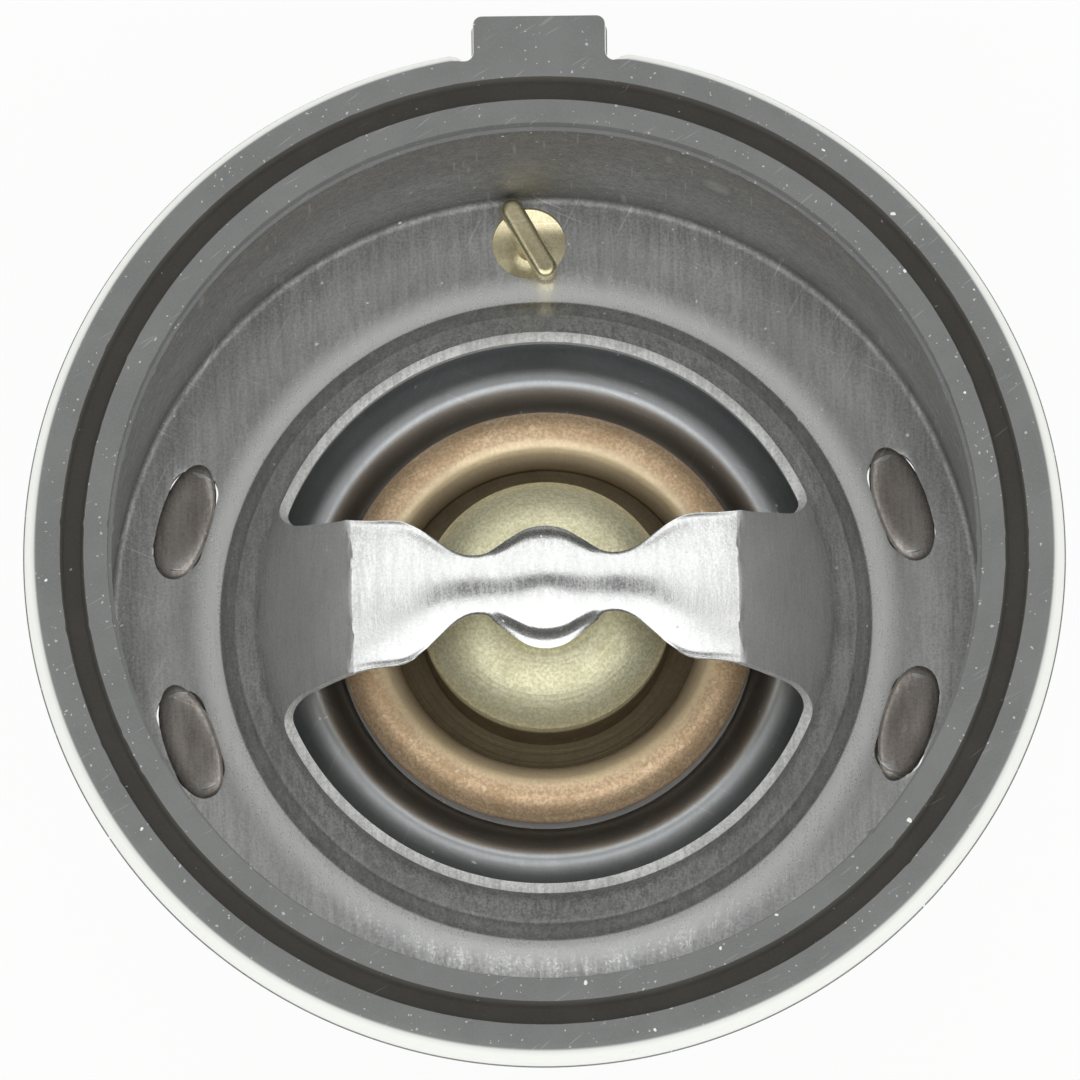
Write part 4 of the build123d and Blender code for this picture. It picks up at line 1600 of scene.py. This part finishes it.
@dataclass
class CoilSpring:
    """A compression spring with closed, ground ends."""

    name: str
    node: str
    body: Body
    joint: str
    bottom: float
    top: float
    bottom_r: float
    top_r: float
    turns: float
    wire_r: float
    anchor: float
    keep: float
    closed_turns: float = 0.85
    steps: int = 48
    sides: int = 14

    def build(self) -> bpy.types.Object:
        """Wind the spring and have it stand for the CAD node.

        Returns:
            The spring.
        """
        count = int(self.turns * self.steps)
        points: list[Point] = []
        for k in range(count + 1):
            points += self._ring(k / count)
        start, end = len(points), len(points) + 1
        for share, ring in ((0.0, 0), (1.0, count)):
            points.append(self._centre(share))
        faces: list[Sequence[int]] = list(grid_faces(count + 1, self.sides))
        last = count * self.sides
        for k in range(self.sides):
            beside = (k + 1) % self.sides
            faces += [(start, beside, k), (end, last + k, last + beside)]
        made = mesh_object(self.name, points, faces, WIRE_STEEL, 40.0)
        stand_for(made, self.body, self.node)
        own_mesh(made)
        return made

    def _centre(self, share: float) -> Point:
        """Middle of the wire at a share of its length; the end turns lie nearly flat.

        Args:
            share: how far along, from 0 to 1.

        Returns:
            The point.
        """
        turn = 2 * math.pi * self.turns * share
        flat = self.closed_turns / self.turns
        climb = min(max((share - flat) / (1 - 2 * flat), 0.0), 1.0)
        edge = 2 * self.wire_r * min(share, flat) / flat
        edge += 2 * self.wire_r * max(share - (1 - flat), 0.0) / flat
        travel = self.top - self.bottom - 5.2 * self.wire_r
        z = self.bottom + 0.6 * self.wire_r + edge + travel * climb
        r = self.bottom_r + (self.top_r - self.bottom_r) * share
        return r * math.cos(turn), r * math.sin(turn), z

    def _ring(self, share: float) -> list[Point]:
        """Corners round the wire, ground off at the spring's two ends.

        Args:
            share: how far along, from 0 to 1.

        Returns:
            The corners.
        """
        x, y, z = self._centre(share)
        reach = math.hypot(x, y)
        ring = []
        for k in range(self.sides):
            angle = 2 * math.pi * k / self.sides
            r = reach + self.wire_r * math.cos(angle)
            level = min(max(z + self.wire_r * math.sin(angle), self.bottom), self.top)
            ring.append((x / reach * r, y / reach * r, level))
        return ring


def apply_modifiers(made: bpy.types.Object) -> None:
    """Replace an object's mesh by what its modifiers make of it.

    Args:
        made: the object.
    """
    graph = bpy.context.evaluated_depsgraph_get()
    done = bpy.data.meshes.new_from_object(made.evaluated_get(graph))
    done.name = made.name
    made.modifiers.clear()
    made.data = done


MAIN_SPRING = CoilSpring("main_spring_coil", "main_spring", Body.HOUSING, "valve_lift",
                         bottom=-36.8, top=-17.4, bottom_r=13.42, top_r=14.18, turns=5.0,
                         wire_r=0.8, anchor=-36.8, keep=0.57)
BYPASS_SPRING = CoilSpring("bypass_spring_coil", "bypass_spring", Body.VALVE, "bypass_slide",
                           bottom=-50.0, top=-42.3, bottom_r=4.6, top_r=4.6, turns=4.5,
                           wire_r=0.5, anchor=-42.3, keep=0.53)


# ---------------------------------------------------------------------------- studio


@dataclass
class Studio:
    """Floor, soft light and camera."""

    floor_level: float = -61.6
    floor_size: float = 8.0
    azimuth: float = 0.0
    elevation: float = 78.0
    distance: float = 2.4
    field: float = 63.9
    roll: float = 1.45
    aim: Point = (-0.24, 0.55, 4.0)
    light: float = 1.32
    front_light: float = 0.2
    seam_dark: float = 1.12
    seam_lean: float = 0.19
    seam_bow: float = 0.2

    def build(self) -> None:
        """Set the stage, the light and the camera."""
        scene = bpy.context.scene
        scene.view_settings.view_transform = "Standard"
        self._floor()
        self._sky()
        self._camera()

    def _floor(self) -> None:
        """A pale floor that keeps a soft shadow."""
        half = self.floor_size / 2 / MM
        made = mesh_object("studio_floor",
                           [(-half, -half, self.floor_level), (half, -half, self.floor_level),
                            (half, half, self.floor_level), (-half, half, self.floor_level)],
                           [(0, 1, 2, 3)], WASHER_PLASTIC)
        paint = bpy.data.materials.new("floor_paint")
        paint.use_nodes = True
        graph = Graph(paint.node_tree)
        matt = graph.node("BsdfDiffuse", (0.85, 0.85, 0.84))
        glow = graph.node("Emission", (1.0, 1.0, 1.0), 1.0)
        rays = graph.node("LightPath").outputs
        seen = graph.plus(rays["Is Camera Ray"],
                           graph.plus(rays["Is Glossy Ray"], rays["Is Transmission Ray"]),
                           clamp=True)
        mixed = graph.node("MixShader", graph.times(seen, 0.8), matt.outputs[0],
                           glow.outputs[0])
        out = graph.node("OutputMaterial")
        graph.feed(out.inputs["Surface"], mixed.outputs[0])
        made.data.materials.clear()
        made.data.materials.append(paint)

    def _sky(self) -> None:
        """A white tent with a dim opening overhead, where the camera looks in."""
        world = bpy.data.worlds.new("soft_tent")
        world.use_nodes = True
        graph = Graph(world.node_tree)
        way = graph.node("TexCoord").outputs["Generated"]
        parts = graph.node("SeparateXYZ", way).outputs
        bow = graph.times(graph.maths("ABSOLUTE", parts[0]), self.seam_bow)
        off_plane = graph.minus(graph.plus(parts[1], bow), graph.times(parts[2], self.seam_lean))
        band = graph.remap(graph.maths("ABSOLUTE", off_plane), 0.27, 0.16)
        seam = graph.times(band, graph.remap(parts[2], 0.79, 0.87))
        front = graph.remap(parts[1], -0.15, -0.6, 0.0, self.front_light)
        level = graph.minus(graph.plus(front, self.light), graph.times(seam, self.seam_dark))
        tent = graph.node("Background", (1.0, 1.0, 1.0), level)
        plain = graph.node("Background", (1.0, 1.0, 1.0), 1.0)
        camera = graph.node("LightPath").outputs["Is Camera Ray"]
        mixed = graph.node("MixShader", camera, tent.outputs[0], plain.outputs[0])
        out = graph.node("OutputWorld")
        graph.feed(out.inputs["Surface"], mixed.outputs[0])
        bpy.context.scene.world = world

    def _camera(self) -> None:
        """A long lens, nearly overhead."""
        lens = bpy.data.cameras.new("camera")
        lens.sensor_width = 36.0
        lens.lens = lens.sensor_width * self.distance / (self.field * MM)
        lens.clip_start, lens.clip_end = 0.05, 30.0
        camera = bpy.data.objects.new("camera", lens)
        bpy.context.scene.collection.objects.link(camera)
        a, e = math.radians(self.azimuth), math.radians(self.elevation)
        back = Vector((math.sin(a) * math.cos(e), -math.cos(a) * math.cos(e), math.sin(e)))
        camera.location = Vector(self.aim) * MM + back * self.distance
        camera.rotation_mode = "QUATERNION"
        look = (-back).to_track_quat("-Z", "Y")
        camera.rotation_quaternion = look @ Quaternion((0, 0, 1), math.radians(-self.roll))
        bpy.context.scene.camera = camera


def dress_nodes(nodes: dict[str, bpy.types.Object]) -> None:
    """Give each CAD node its finish.

    Args:
        nodes: the CAD nodes by name.
    """
    for name, finish in NODE_FINISH.items():
        piece = nodes[name]
        for place in piece.material_slots:
            place.material = finish.material()


def main() -> None:
    """Build the scene."""
    logging.basicConfig(level=logging.INFO, format="%(message)s")
    for old in list(bpy.data.objects):
        bpy.data.objects.remove(old)
    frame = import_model()
    dress_nodes(frame["nodes"])
    pieces = [SealRing().build(), FlangeStamping().build(), ValveDisc().build()]
    pieces += ClinchedFeet().build()
    pieces += [MAIN_SPRING.build(), BYPASS_SPRING.build()]
    for piece in pieces:
        LOG.info("%s: %d faces", piece.name, len(piece.data.polygons))
    Studio().build()


if __name__ == "__main__":
    main()
